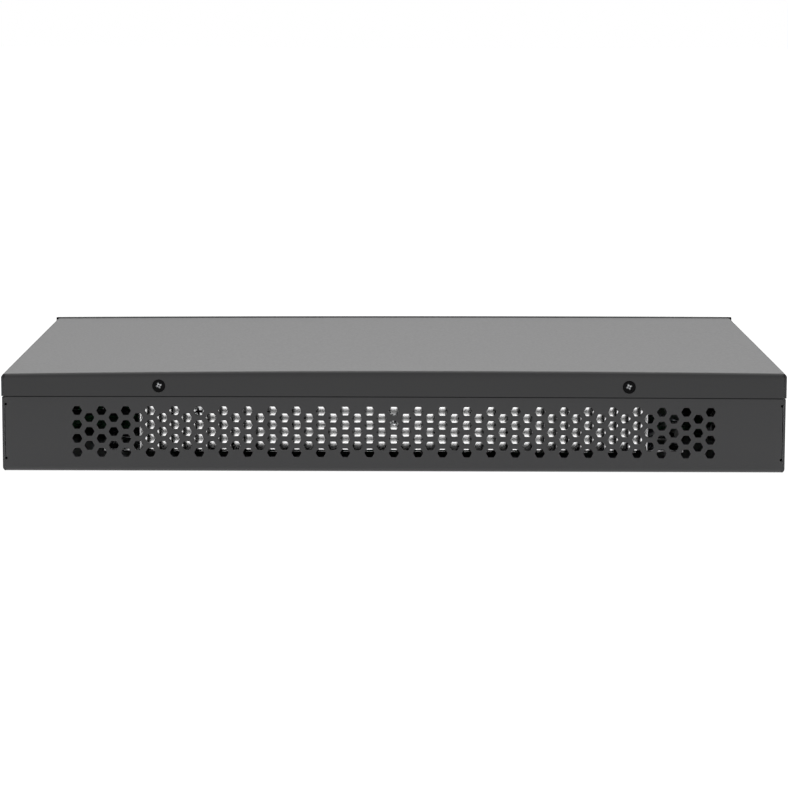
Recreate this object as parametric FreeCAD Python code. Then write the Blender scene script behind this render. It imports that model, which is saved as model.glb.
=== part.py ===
import FreeCAD, Part
import math
import os

# Compact one-rack-unit network switch.
# +Z up, +X to the right and -Y towards someone looking at the vented rear wall; the ports face +Y.
# The origin is the middle of the underside. All sizes are millimetres.

# ---------------------------------------------------------------- overall sizes
HEIGHT = 44.4             # one rack unit less its clearance, at the highest point of the crowned lid
COVER_WIDTH = 341.0       # over the lid's side lips
CHASSIS_DEPTH = 222.0     # rear lip of the lid to the face of the port panel
FRONT_PROUD = 1.5         # how far the inlet flange and the button stand out of the port panel

# ---------------------------------------------------------------- folded steel
TRAY_SHEET = 1.2          # tray, rear wall and port panel
COVER_SHEET = 1.0         # lid
LIP_HEIGHT = 10.7         # lid's lips, below its side edges
CROWN = 1.1               # rise of the lid's middle over its side edges
BODY_INSET = 0.4          # tray and rear wall stand in from the lips by this
LAP_GAP = 0.1             # paint gap between a lip and the wall set back behind it
LID_BEND = 1.2            # outside bend radius of the lid
BEND_SLOT = 0.4           # width of the slot that lets the lid's corners fold
TRAY_BEND = 1.7           # outside bend radius of the tray
FIT = 0.2                 # gap where one piece fits beside or inside another
FASCIA_RETURN = 4.4       # port panel's folded edge, seen from the top and the sides
FASCIA_GAP = 0.3          # line between that edge, the tray and the lid
REAR_FOOT = 7.0           # rear wall's return along the underside
SHELF_DEPTH = 14.0        # port panel's shelf that the lid's front edge lies on

# ---------------------------------------------------------------- rear vent
VENT_PITCH = 6.11         # hexagon centre to centre
VENT_FLATS = 3.9          # hexagon across flats
VENT_COLUMNS = 53
VENT_ROWS = 4             # in the even columns; the odd ones have one less
VENT_CENTRE_Z = 17.4
SEAM_WIDTH = 0.7          # open joint between rear wall and side wall
SEAM_BOTTOM = 5.65
SEAM_TOP = 29.3
NOTCH_RADIUS = 0.6        # relief holes at the ends of each open joint

# ---------------------------------------------------------------- fasteners
LID_SCREW_X = 102.0       # rear lip screws, each side of the middle
LID_SCREW_DROP = 5.8      # lip screws below the lid's side edge
LID_SCREW_SIDE_Y = 62.0   # side lip screws, each side of the middle
LID_SCREW_LENGTH = 4.0
M3_HOLE = 1.5
M3_CLEAR = 1.65           # corner radius of the six-sided clearance hole for an M3
M3_SHANK = 1.45
M3_HEAD = 2.75
EAR_HOLE = 1.65           # M4 tapping size
EAR_SPACING_Y = 25.0
EAR_SPACING_Z = 18.0
EAR_CENTRE_Z = 17.0
EAR_SETBACK = 21.0        # middle of the ear holes behind the tray's front edge

# ---------------------------------------------------------------- side vents and fans
SLOT_WIDTH = 4.0
SLOT_PITCH = 7.0
SLOT_COUNT = 5            # in front of each fan
SLOT_BOTTOM = 8.0
SLOT_TOP = 28.0
FAN_SIZE = 40.0
FAN_DEPTH = 20.0
FAN_WALL = 1.0            # thinnest wall round the duct
FAN_TIP_GAP = 0.7         # blade tips to the duct
FAN_HUB = 10.0
FAN_BLADES = 5
BLADE_SWEEP = 5.0         # each blade's edges to the sides of its middle line
BLADE_CAMBER = 1.2        # how far each blade bows out of its edges' plane
FAN_SPACE = 2.0           # between the two fans
FAN_HOLE = 2.1
FAN_HOLE_IN = 4.0         # screw holes in from the frame's sides
FAN_SETBACK = 95.0        # middle of the fan pair behind the port panel
BRACKET_SHEET = 1.0
SHAFT_RADIUS = 2.0
SHAFT_PLAY = 0.06

# ---------------------------------------------------------------- power supply
CASE_BEHIND = 11.0        # case behind the outside of the rear wall
CASE_WIDTH = 223.8
CASE_DEPTH = 54.0
CASE_HEIGHT = 29.5
CASE_SHEET = 1.0
FOOT_LENGTH = 19.0        # foot tabs, past each end of the case
FOOT_WIDTH = 14.0
FOOT_SCREW_OUT = 12.2     # foot screws, past each end of the case
FOOT_SCREW_IN = 8.8       # foot screws, in from the case's rear wall
POWER_BOARD_RISE = 3.0    # power board above the case's floor
POWER_BOARD_MARGIN = 3.0  # power board inside the case's outline
PLATE_SCREW_X = (0.4, 26.5)       # middle one from the middle, other one from the left end
PLATE_SCREW_RISE = (15.4, 18.8)   # above the case's underside
POWER_CLEAR = 2.4         # tallest part on the power board to the case's lid
POWER_BULK_RADIUS = 9.0
CHOKE_IN = 23.9           # middles of what stands on the power board, from the case's left end
BULK_IN = (45.9, 66.9)
HEATSINK_IN = (89.9, 155.9)
TRANSFORMER_IN = 121.9
CORE_HEIGHT_LESS = 1.5    # transformer and heatsinks under the tallest part
MAINS_LEAD_RADIUS = 1.3
DC_LEAD_RADIUS = 1.0
LEAD_BEND = 4.0
DC_X = 40.0               # low-voltage leads and their header
HEADER_HEIGHT = 8.0

# ---------------------------------------------------------------- main board
STANDOFF = 5.0
BOARD_THICK = 1.6
BOARD_WALL_GAP = 8.1      # board edge to the outside of the wall, -X side
BOARD_FAN_GAP = 2.0       # board edge to the fans' bracket, +X side
BOARD_CASE_GAP = 21.8     # board edge to the power supply
BOARD_SETBACK = 1.6       # board edge behind the port panel's inside
STANDOFF_RADIUS = 3.2     # over the corners of the six-sided posts
CHIP_HEIGHT = 2.4
CHIPS = {
    "switch_chip": dict(x=30.0, setback=55.0, size=31.0, sink=40.0, rise=16.0, fins=9),
    "physical_layer_chip_1": dict(x=85.0, setback=70.0, size=20.0, sink=25.0, rise=10.0, fins=6),
    "physical_layer_chip_2": dict(x=-14.0, setback=45.0, size=20.0, sink=25.0, rise=10.0, fins=6),
}

# ---------------------------------------------------------------- ports
PORT_PITCH = 13.97        # modular jacks side by side
PORT_COLUMNS = 4          # jacks in a row of one block
PORT_PROUD = 0.2          # how far jacks and cages stand out of the panel
JACK_WIDTH = 11.9
JACK_HEIGHT = 6.9
JACK_DEPTH = 14.0
LATCH_WIDTH = 6.4
LATCH_HEIGHT = 1.9
BLOCK_HEIGHT = 25.6
BLOCK_DEPTH = 25.0
BLOCK_EDGE = 1.2          # shield past the outer jacks and below the latch slot
BLOCK_X = (85.0, 22.0)    # middles of the two blocks
SOCKET_HEIGHT = 13.4      # single jack for the console
SOCKET_X = -80.0
CAGE_X = (-37.5, -53.5)
CAGE_WIDTH = 14.3
CAGE_HEIGHT = 9.8
CAGE_DEPTH = 48.0
CAGE_SHEET = 0.4
INLET_X = -138.0
INLET_Z = 21.0
INLET_FLANGE = (50.0, 22.6)
INLET_BODY = (27.0, 19.6)
INLET_CAVITY = (24.4, 16.4)
INLET_DEPTH = 22.0
INLET_CAVITY_DEPTH = 17.0
INLET_CHAMFER = 4.5       # upper corners of the mouth
INLET_CORNER = 7.0        # corners of the flange
INLET_SCREW_X = 20.0      # each side of the inlet's middle
PIN_TIP = 5.5             # blade tips behind the inlet's face
BUTTON_X = 122.0
BUTTON_Z = 12.6
BUTTON_RADIUS = 3.0
BUTTON_TRAVEL = 1.0
BUTTON_COLLAR = 1.2       # thickness of the collar behind the panel
BUTTON_STEM = 3.9
LAMP_X = (132.0, 136.5, 141.0)
LAMP_Z = 27.0
LAMP_RADIUS = 1.5
LAMP_TAIL = 8.8           # light pipes behind the panel's inside

# ---------------------------------------------------------------- worked-out places
HALF_WIDTH = COVER_WIDTH / 2
BODY_HALF = HALF_WIDTH - BODY_INSET
REAR_Y = -(CHASSIS_DEPTH + FRONT_PROUD) / 2
FRONT_Y = REAR_Y + CHASSIS_DEPTH
WALL_Y = REAR_Y + BODY_INSET
SIDE_TOP = HEIGHT - CROWN
LIP_BOTTOM = SIDE_TOP - LIP_HEIGHT
JOGGLE = COVER_SHEET + LAP_GAP - BODY_INSET
JOGGLE_START = LIP_BOTTOM - 1.0
JOGGLE_END = LIP_BOTTOM - 0.3
TRAY_TOP = SIDE_TOP - COVER_SHEET - 0.4
TRAY_FRONT = FRONT_Y - FASCIA_RETURN - FASCIA_GAP
PANEL_INNER = FRONT_Y - TRAY_SHEET
BOARD_Z = TRAY_SHEET + STANDOFF
BOARD_TOP = BOARD_Z + BOARD_THICK
CASE_REAR = WALL_Y + CASE_BEHIND
CASE_HALF = CASE_WIDTH / 2
CASE_BASE = TRAY_SHEET + STANDOFF
CASE_FLOOR = CASE_BASE + CASE_SHEET
CASE_TOP = CASE_BASE + CASE_HEIGHT
CASE_FRONT = CASE_REAR + CASE_DEPTH
FAN_PITCH = FAN_SIZE + FAN_SPACE
FAN_BORE = FAN_SIZE / 2 - FAN_WALL
FAN_TIP = FAN_BORE - FAN_TIP_GAP
FAN_HOLE_SPACING = FAN_SIZE - 2 * FAN_HOLE_IN
FAN_Y = (FRONT_Y - FAN_SETBACK - FAN_PITCH / 2, FRONT_Y - FAN_SETBACK + FAN_PITCH / 2)
FAN_Z = TRAY_SHEET + FIT + FAN_SIZE / 2
FAN_OUTER_X = BODY_HALF - JOGGLE - TRAY_SHEET - FIT
FAN_INNER_X = FAN_OUTER_X - FAN_DEPTH
BOARD_FRONT = PANEL_INNER - BOARD_SETBACK
BOARD_REAR = CASE_FRONT + BOARD_CASE_GAP
BOARD_LEFT = BODY_HALF - BOARD_WALL_GAP
BOARD_RIGHT = FAN_INNER_X - BRACKET_SHEET - BOARD_FAN_GAP
EAR_Y = TRAY_FRONT - EAR_SETBACK
BLOCK_WIDTH = PORT_PITCH * (PORT_COLUMNS - 1) + JACK_WIDTH + 2 * BLOCK_EDGE
BLOCK_FACE = FRONT_Y + PORT_PROUD
POWER_BOARD_Z = CASE_FLOOR + POWER_BOARD_RISE
POWER_TOP = POWER_BOARD_Z + BOARD_THICK
POWER_TALL = CASE_TOP - CASE_SHEET - POWER_CLEAR - POWER_TOP
CORE_HEIGHT = POWER_TALL - CORE_HEIGHT_LESS
CASE_MIDDLE_Y = CASE_REAR + CASE_DEPTH / 2
MAINS_ENTRY_Y = CASE_FRONT - 14.0
DC_LEAD_Z = CASE_FLOOR + 14.0
HEADER_Y = BOARD_REAR + 8.0
BLADE_BACK = FRONT_Y - INLET_DEPTH - 7.0


# ---------------------------------------------------------------- helpers
def vec(x, y, z):
    return FreeCAD.Vector(x, y, z)


def block(x, y, z):
    """Box between two values on each axis, given as pairs."""
    return Part.makeBox(x[1] - x[0], y[1] - y[0], z[1] - z[0], vec(x[0], y[0], z[0]))


def centred(x, y, z, width, depth, height):
    """Box standing on z, centred on x and y."""
    return block((x - width / 2, x + width / 2), (y - depth / 2, y + depth / 2), (z, z + height))


def rod(radius, length, start, axis):
    return Part.makeCylinder(radius, length, start, axis)


def polygon(points):
    return Part.Face(Part.makePolygon(points + points[:1]))


def ring(sides, radius, centre, axis):
    """Corners of a regular polygon round centre, square to axis (X, Y or Z)."""
    points = []
    for k in range(sides):
        angle = 2 * math.pi * k / sides
        u = radius * math.cos(angle)
        v = radius * math.sin(angle)
        if abs(axis.x) > 0.5:
            points.append(centre + vec(0, u, v))
        elif abs(axis.y) > 0.5:
            points.append(centre + vec(u, 0, v))
        else:
            points.append(centre + vec(u, v, 0))
    return points


def prism(sides, radius, length, start, axis):
    """Regular prism of that many sides, from start along axis."""
    return polygon(ring(sides, radius, start, axis)).extrude(axis * length)


def between(first, second):
    """Solid between two outlines with as many corners, its sides flat where four corners are in one plane."""
    faces = [polygon(first), polygon(second)]
    for k, corner in enumerate(first):
        following = (k + 1) % len(first)
        faces.append(polygon([corner, first[following], second[following], second[k]]))
    solid = Part.Solid(Part.Shell(faces))
    if solid.Volume < 0:
        solid.reverse()
    return solid


def mirrored(shape, normal=FreeCAD.Vector(1, 0, 0)):
    return shape.mirror(vec(0, 0, 0), normal)


def group(shapes):
    return Part.makeCompound(shapes)


def joined(shapes):
    """One solid from pieces that meet."""
    return shapes[0].multiFuse(shapes[1:]).removeSplitter()


def taper(sides, wide, narrow, face, axis, depth):
    """Many-sided cone from face, going in against axis, with flat sides."""
    return between(ring(sides, wide, face, axis), ring(sides, narrow, face - axis * depth, axis))


def pan_screw(seat, axis, shank, head_radius=2.9, head_height=2.0):
    """Pan-head screw: seat is under the head, axis points out of the head."""
    head = prism(8, head_radius, head_height, seat, axis)
    stem = prism(6, M3_SHANK, shank, seat, axis * -1)
    return joined([head, stem])


def countersunk_screw(face, axis, sheet, shank):
    """Countersunk screw, its head flush with face."""
    head = taper(12, M3_HEAD, M3_SHANK, face, axis, sheet)
    return joined([head, prism(6, M3_SHANK, shank, face, axis * -1)])


def cross_recess(face, axis):
    """Two crossed blades that a driver leaves room for."""
    blades = []
    for turn in (45, 135):
        blade = Part.makeBox(3.4, 0.7, 1.6, vec(-1.7, -0.35, -0.8))
        blade.rotate(vec(0, 0, 0), vec(0, 0, 1), turn)
        blade.Placement = FreeCAD.Placement(face, FreeCAD.Rotation(vec(0, 0, 1), axis)) * blade.Placement
        blades.append(blade)
    return joined(blades)


def countersink(face, axis, sheet):
    """Tapered seat that a countersunk head fits with a paint gap."""
    return taper(12, M3_HEAD + LAP_GAP, M3_HOLE + LAP_GAP, face, axis, sheet)


# ---------------------------------------------------------------- crowned outside form
def crowned_body(inset, bottom, rear, front):
    """Everything inside the outside form, set in by inset, between two depths; the top is a shallow arc."""
    half = HALF_WIDTH - inset
    side = SIDE_TOP - inset
    low_left = vec(-half, rear, bottom)
    low_right = vec(half, rear, bottom)
    top_left = vec(-half, rear, side)
    top_right = vec(half, rear, side)
    edges = [
        Part.makeLine(low_left, low_right),
        Part.makeLine(low_right, top_right),
        Part.Arc(top_right, vec(0, rear, side + CROWN), top_left).toShape(),
        Part.makeLine(top_left, low_left),
    ]
    return Part.Face(Part.Wire(edges)).extrude(vec(0, front - rear, 0))


def bent_edges(shape, wanted, radius):
    """Rounds the edges that wanted(edge) picks."""
    edges = [edge for edge in shape.Edges if wanted(edge)]
    return shape.makeFillet(radius, edges)


def is_top_edge(edge):
    box = edge.BoundBox
    return box.ZMin > SIDE_TOP - 0.01


def outside_form(bottom):
    """Whole outside, with the bends of the lid along its top."""
    return bent_edges(crowned_body(0, bottom, REAR_Y, FRONT_Y), is_top_edge, LID_BEND)


# ---------------------------------------------------------------- lid
def make_cover():
    outer = outside_form(LIP_BOTTOM)
    inner = crowned_body(COVER_SHEET, LIP_BOTTOM - 5, REAR_Y + COVER_SHEET, FRONT_Y + 5)
    lid = outer.cut(inner)
    lid = lid.cut(block((-HALF_WIDTH - 1, HALF_WIDTH + 1), (TRAY_FRONT, FRONT_Y + 1), (0, HEIGHT + 1)))
    seats = [countersink(p, n, COVER_SHEET) for p, n in rear_lid_screws() + side_lid_screws()]
    # the rear lip ends against the side lips: a tight joint that stops in a slot at the bend
    for side in (-1, 1):
        x = side * (HALF_WIDTH - COVER_SHEET)
        for half_width, foot in ((LAP_GAP / 2, LIP_BOTTOM - 1), (BEND_SLOT / 2, SIDE_TOP - LID_BEND - 0.6)):
            seats.append(block((x - half_width, x + half_width), (REAR_Y - 1, REAR_Y + COVER_SHEET),
                               (foot, SIDE_TOP - LID_BEND + 0.4)))
    return lid.cut(group(seats))


def rear_lid_screws():
    z = SIDE_TOP - LID_SCREW_DROP
    return [(vec(side * LID_SCREW_X, REAR_Y, z), vec(0, -1, 0)) for side in (-1, 1)]


def side_lid_screws():
    z = SIDE_TOP - LID_SCREW_DROP
    places = []
    for side in (-1, 1):
        for end in (-1, 1):
            places.append((vec(side * HALF_WIDTH, end * LID_SCREW_SIDE_Y, z), vec(side, 0, 0)))
    return places


def make_rear_cover_screws():
    screws = [countersunk_screw(p, n, COVER_SHEET, LID_SCREW_LENGTH) for p, n in rear_lid_screws()]
    return group([screw.cut(cross_recess(p, n)) for screw, (p, n) in zip(screws, rear_lid_screws())])


def make_side_cover_screws():
    return group([countersunk_screw(p, n, COVER_SHEET, LID_SCREW_LENGTH) for p, n in side_lid_screws()])


# ---------------------------------------------------------------- tray
def tray_half_profile(y):
    """Right half of the tray's section: floor, bend, side wall and the step behind the lip."""
    inner_bend = TRAY_BEND - TRAY_SHEET
    wall = BODY_HALF
    inside = wall - TRAY_SHEET
    quarter = math.sqrt(0.5)
    bend_x = wall - TRAY_BEND
    outer_mid = vec(bend_x + TRAY_BEND * quarter, y, TRAY_BEND * (1 - quarter))
    inner_mid = vec(bend_x + inner_bend * quarter, y, TRAY_BEND - inner_bend * quarter)
    corners = [
        vec(wall, y, TRAY_BEND),
        vec(wall, y, JOGGLE_START),
        vec(wall - JOGGLE, y, JOGGLE_END),
        vec(wall - JOGGLE, y, TRAY_TOP),
        vec(inside - JOGGLE, y, TRAY_TOP),
        vec(inside - JOGGLE, y, JOGGLE_END),
        vec(inside, y, JOGGLE_START),
        vec(inside, y, TRAY_BEND),
    ]
    edges = [Part.makeLine(vec(0, y, 0), vec(bend_x, y, 0))]
    edges.append(Part.Arc(vec(bend_x, y, 0), outer_mid, corners[0]).toShape())
    edges += [Part.makeLine(a, b) for a, b in zip(corners[:-1], corners[1:])]
    edges.append(Part.Arc(corners[-1], inner_mid, vec(bend_x, y, TRAY_SHEET)).toShape())
    edges.append(Part.makeLine(vec(bend_x, y, TRAY_SHEET), vec(0, y, TRAY_SHEET)))
    edges.append(Part.makeLine(vec(0, y, TRAY_SHEET), vec(0, y, 0)))
    return Part.Face(Part.Wire(edges))


def ear_holes(side):
    cuts = []
    for dy in (-0.5, 0.5):
        for dz in (-0.5, 0.5):
            start = vec(side * (BODY_HALF + 1), EAR_Y + dy * EAR_SPACING_Y, EAR_CENTRE_Z + dz * EAR_SPACING_Z)
            cuts.append(rod(EAR_HOLE, TRAY_SHEET + 2, start, vec(-side, 0, 0)))
    return cuts


def side_slots(side):
    """Upright slots in front of each fan, and the same on the intake side."""
    cuts = []
    x = sorted((side * (BODY_HALF + 1), side * (BODY_HALF - TRAY_SHEET - 1)))
    for fan_y in FAN_Y:
        for k in range(SLOT_COUNT):
            y = fan_y + (k - (SLOT_COUNT - 1) / 2) * SLOT_PITCH
            cuts.append(block(x, (y - SLOT_WIDTH / 2, y + SLOT_WIDTH / 2), (SLOT_BOTTOM, SLOT_TOP)))
    return cuts


def make_tray():
    half = tray_half_profile(WALL_Y).extrude(vec(0, TRAY_FRONT - WALL_Y, 0))
    tray = half.fuse(mirrored(half)).removeSplitter()
    inside = BODY_HALF - TRAY_SHEET
    lip_inner = REAR_Y + COVER_SHEET + LAP_GAP
    cuts = [
        block((-inside, inside), (WALL_Y - 1, WALL_Y + REAR_FOOT), (-1, TRAY_BEND + 0.1)),
        block((-HALF_WIDTH, HALF_WIDTH), (WALL_Y - 1, lip_inner), (JOGGLE_START, HEIGHT)),
    ]
    for side in (-1, 1):
        cuts += ear_holes(side) + side_slots(side)
    for place, normal in side_lid_screws():
        cuts.append(prism(6, M3_CLEAR, 8, place, normal * -1))
    return tray.cut(group(cuts))


# ---------------------------------------------------------------- rear wall
def rear_wall_profile(x):
    """Section of the rear wall: return along the underside, bend, wall, step behind the lip."""
    inner_bend = TRAY_BEND - TRAY_SHEET
    quarter = math.sqrt(0.5)
    y = WALL_Y
    bend_y = y + TRAY_BEND
    outer_mid = vec(x, bend_y - TRAY_BEND * quarter, TRAY_BEND * (1 - quarter))
    inner_mid = vec(x, bend_y - inner_bend * quarter, TRAY_BEND - inner_bend * quarter)
    corners = [
        vec(x, y, TRAY_BEND),
        vec(x, y, JOGGLE_START),
        vec(x, y + JOGGLE, JOGGLE_END),
        vec(x, y + JOGGLE, TRAY_TOP),
        vec(x, y + JOGGLE + TRAY_SHEET, TRAY_TOP),
        vec(x, y + JOGGLE + TRAY_SHEET, JOGGLE_END),
        vec(x, y + TRAY_SHEET, JOGGLE_START),
        vec(x, y + TRAY_SHEET, TRAY_BEND),
    ]
    foot_y = y + REAR_FOOT
    foot = [vec(x, bend_y, TRAY_SHEET), vec(x, foot_y, TRAY_SHEET), vec(x, foot_y, 0), vec(x, bend_y, 0)]
    edges = [Part.makeLine(a, b) for a, b in zip(corners[:-1], corners[1:])]
    edges.append(Part.Arc(corners[-1], inner_mid, foot[0]).toShape())
    edges += [Part.makeLine(a, b) for a, b in zip(foot[:-1], foot[1:])]
    edges.append(Part.Arc(foot[-1], outer_mid, corners[0]).toShape())
    return Part.Face(Part.Wire(edges))


def vent_holes():
    """Honeycomb: flats up and down, odd columns half a pitch off and one hexagon shorter."""
    column_step = VENT_PITCH * math.cos(math.pi / 6)
    corner = VENT_FLATS / math.sqrt(3)
    holes = []
    for column in range(VENT_COLUMNS):
        x = (column - (VENT_COLUMNS - 1) / 2) * column_step
        rows = VENT_ROWS - column % 2
        for row in range(rows):
            z = VENT_CENTRE_Z + (row - (rows - 1) / 2) * VENT_PITCH
            holes.append(prism(6, corner, TRAY_SHEET + 2, vec(x, WALL_Y - 1, z), vec(0, 1, 0)))
    return holes


def make_rear_wall():
    inside = BODY_HALF - TRAY_SHEET
    wall = rear_wall_profile(-inside).extrude(vec(2 * inside, 0, 0))
    cuts = vent_holes()
    for side in (-1, 1):
        seam = sorted((side * inside, side * (inside - SEAM_WIDTH / 2)))
        shoulder = sorted((side * inside, side * (inside - JOGGLE - FIT)))
        cuts.append(block(seam, (WALL_Y - 1, WALL_Y + 2), (SEAM_BOTTOM, SEAM_TOP)))
        cuts.append(block(shoulder, (WALL_Y - 1, WALL_Y + 5), (JOGGLE_START, HEIGHT)))
        for z in (SEAM_BOTTOM, SEAM_TOP):
            notch = vec(side * (inside - NOTCH_RADIUS), WALL_Y - 1, z)
            cuts.append(prism(8, NOTCH_RADIUS, 4, notch, vec(0, 1, 0)))
    for place, normal in rear_lid_screws():
        cuts.append(prism(6, M3_CLEAR, 8, place, normal * -1))
    return wall.cut(group(cuts))


# ---------------------------------------------------------------- port panel
def through_panel(x, z, width, height):
    """Rectangular cut-out through the port panel, centred."""
    half_x = width / 2
    half_z = height / 2
    return block((x - half_x, x + half_x), (PANEL_INNER - 1, FRONT_Y + 1), (z - half_z, z + half_z))


def round_through_panel(x, z, radius, sides):
    return prism(sides, radius, TRAY_SHEET + 2, vec(x, PANEL_INNER - 1, z), vec(0, 1, 0))


def is_bottom_side_edge(edge):
    box = edge.BoundBox
    return box.ZMax < 0.01 and box.XLength < 0.01


def make_port_panel():
    shell = bent_edges(outside_form(0), is_bottom_side_edge, TRAY_BEND)
    shell = shell.common(
        block((-HALF_WIDTH - 1, HALF_WIDTH + 1), (FRONT_Y - FASCIA_RETURN, FRONT_Y + 1), (-1, HEIGHT + 1))
    )
    hollow = crowned_body(TRAY_SHEET, TRAY_SHEET, REAR_Y, PANEL_INNER)
    shell = shell.cut(hollow)
    inside = BODY_HALF - TRAY_SHEET - FIT
    tab_z = (EAR_CENTRE_Z - EAR_SPACING_Z / 4, EAR_CENTRE_Z + EAR_SPACING_Z / 4)
    parts = [shell, block((-BOARD_RIGHT, BOARD_RIGHT), (FRONT_Y - SHELF_DEPTH, PANEL_INNER + 0.2),
                          (TRAY_TOP - 1.0, TRAY_TOP))]
    for side in (-1, 1):
        x = sorted((side * inside, side * (inside - TRAY_SHEET)))
        parts.append(block(x, (FRONT_Y - SHELF_DEPTH, PANEL_INNER + 0.2), tab_z))
    panel = joined(parts)
    cuts = [through_panel(x, BOARD_TOP + BLOCK_HEIGHT / 2, BLOCK_WIDTH + 2 * FIT, BLOCK_HEIGHT + 2 * FIT)
            for x in BLOCK_X]
    cuts += [through_panel(x, BOARD_TOP + CAGE_HEIGHT / 2, CAGE_WIDTH + 2 * FIT, CAGE_HEIGHT + 2 * FIT)
             for x in CAGE_X]
    socket_width = JACK_WIDTH + 2 * BLOCK_EDGE + 2 * FIT
    cuts.append(through_panel(SOCKET_X, BOARD_TOP + SOCKET_HEIGHT / 2, socket_width, SOCKET_HEIGHT + 2 * FIT))
    cuts.append(through_panel(INLET_X, INLET_Z, INLET_BODY[0] + 2 * FIT, INLET_BODY[1] + 2 * FIT))
    cuts += [round_through_panel(INLET_X + side * INLET_SCREW_X, INLET_Z, M3_CLEAR, 6) for side in (-1, 1)]
    cuts += [round_through_panel(x, LAMP_Z, LAMP_RADIUS + FIT / 2, 10) for x in LAMP_X]
    cuts.append(round_through_panel(BUTTON_X, BUTTON_Z, BUTTON_RADIUS + FIT, 16))
    return panel.cut(group(cuts))


# ---------------------------------------------------------------- jacks, cages, inlet
def jack_cavity(x, z, latch_side):
    """Modular jack opening: wide slot for the plug with a narrower one for its latch."""
    wide = JACK_WIDTH / 2
    narrow = LATCH_WIDTH / 2
    near = z - latch_side * JACK_HEIGHT / 2
    far = z + latch_side * JACK_HEIGHT / 2
    latch = near - latch_side * LATCH_HEIGHT
    y = BLOCK_FACE + 1
    points = [(-wide, far), (wide, far), (wide, near), (narrow, near), (narrow, latch), (-narrow, latch),
              (-narrow, near), (-wide, near)]
    face = polygon([vec(x + u, y, v) for u, v in points])
    return face.extrude(vec(0, -JACK_DEPTH - 1, 0))


def jack_centre_z(row):
    """Middle of a jack's wide slot; row 0 has its latch below, row 1 above."""
    reach = BLOCK_EDGE + LATCH_HEIGHT + JACK_HEIGHT / 2
    return BOARD_TOP + (reach if row == 0 else BLOCK_HEIGHT - reach)


def jack_columns(x):
    return [x + (k - (PORT_COLUMNS - 1) / 2) * PORT_PITCH for k in range(PORT_COLUMNS)]


def make_jack_block(x):
    body = block((x - BLOCK_WIDTH / 2, x + BLOCK_WIDTH / 2), (BLOCK_FACE - BLOCK_DEPTH, BLOCK_FACE),
                 (BOARD_TOP, BOARD_TOP + BLOCK_HEIGHT))
    cuts = []
    for column in jack_columns(x):
        cuts.append(jack_cavity(column, jack_centre_z(0), 1))
        cuts.append(jack_cavity(column, jack_centre_z(1), -1))
    return body.cut(group(cuts))


def make_console_jack():
    half = JACK_WIDTH / 2 + BLOCK_EDGE
    body = block((SOCKET_X - half, SOCKET_X + half), (BLOCK_FACE - BLOCK_DEPTH + 7, BLOCK_FACE),
                 (BOARD_TOP, BOARD_TOP + SOCKET_HEIGHT))
    return body.cut(jack_cavity(SOCKET_X, jack_centre_z(0), 1))


def make_cage(x):
    outer = block((x - CAGE_WIDTH / 2, x + CAGE_WIDTH / 2), (BLOCK_FACE - CAGE_DEPTH, BLOCK_FACE),
                  (BOARD_TOP, BOARD_TOP + CAGE_HEIGHT))
    half = CAGE_WIDTH / 2 - CAGE_SHEET
    inner = block((x - half, x + half), (BLOCK_FACE - CAGE_DEPTH + CAGE_SHEET, BLOCK_FACE + 1),
                  (BOARD_TOP + CAGE_SHEET, BOARD_TOP + CAGE_HEIGHT - CAGE_SHEET))
    return outer.cut(inner)


def shaped_inlet(width, height, y_from, y_to):
    """Inlet outline: a rectangle with its two upper corners cut off."""
    w = width / 2
    h = height / 2
    c = INLET_CHAMFER
    points = [(-w, -h), (w, -h), (w, h - c), (w - c, h), (c - w, h), (-w, h - c)]
    face = polygon([vec(INLET_X + u, y_from, INLET_Z + v) for u, v in points])
    return face.extrude(vec(0, y_to - y_from, 0))


def make_inlet():
    face = FRONT_Y + FRONT_PROUD
    flange_x = INLET_FLANGE[0] / 2
    flange_z = INLET_FLANGE[1] / 2
    cut_x = flange_x - INLET_CORNER
    cut_z = flange_z - INLET_CORNER
    points = [(-flange_x, -cut_z), (-cut_x, -flange_z), (cut_x, -flange_z), (flange_x, -cut_z),
              (flange_x, cut_z), (cut_x, flange_z), (-cut_x, flange_z), (-flange_x, cut_z)]
    outline = polygon([vec(INLET_X + u, FRONT_Y, INLET_Z + v) for u, v in points])
    flange = outline.extrude(vec(0, FRONT_PROUD, 0))
    body = shaped_inlet(INLET_BODY[0], INLET_BODY[1], FRONT_Y - INLET_DEPTH, FRONT_Y + 0.1)
    cavity = shaped_inlet(INLET_CAVITY[0], INLET_CAVITY[1], face - INLET_CAVITY_DEPTH, face + 1)
    inlet = flange.fuse(body).removeSplitter().cut(cavity)
    seats = []
    for side in (-1, 1):
        place = vec(INLET_X + side * INLET_SCREW_X, face, INLET_Z)
        seats.append(countersink(place, vec(0, 1, 0), FRONT_PROUD))
    for x, z in blade_places():
        seats.append(centred(x, 0, z - 2.0, 2.0, 400.0, 4.0))
    return inlet.cut(group(seats))


def blade_places():
    """Live, neutral and earth blades, as in every inlet of this kind."""
    return [(INLET_X - 7.0, INLET_Z - 2.0), (INLET_X + 7.0, INLET_Z - 2.0), (INLET_X, INLET_Z + 2.0)]


def make_blades():
    tip = FRONT_Y + FRONT_PROUD - PIN_TIP
    return group([block((x - 1, x + 1), (BLADE_BACK, tip), (z - 2, z + 2)) for x, z in blade_places()])


def make_inlet_screws():
    face = FRONT_Y + FRONT_PROUD
    places = [vec(INLET_X + side * INLET_SCREW_X, face, INLET_Z) for side in (-1, 1)]
    return group([countersunk_screw(place, vec(0, 1, 0), FRONT_PROUD, 7.0) for place in places])


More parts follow.
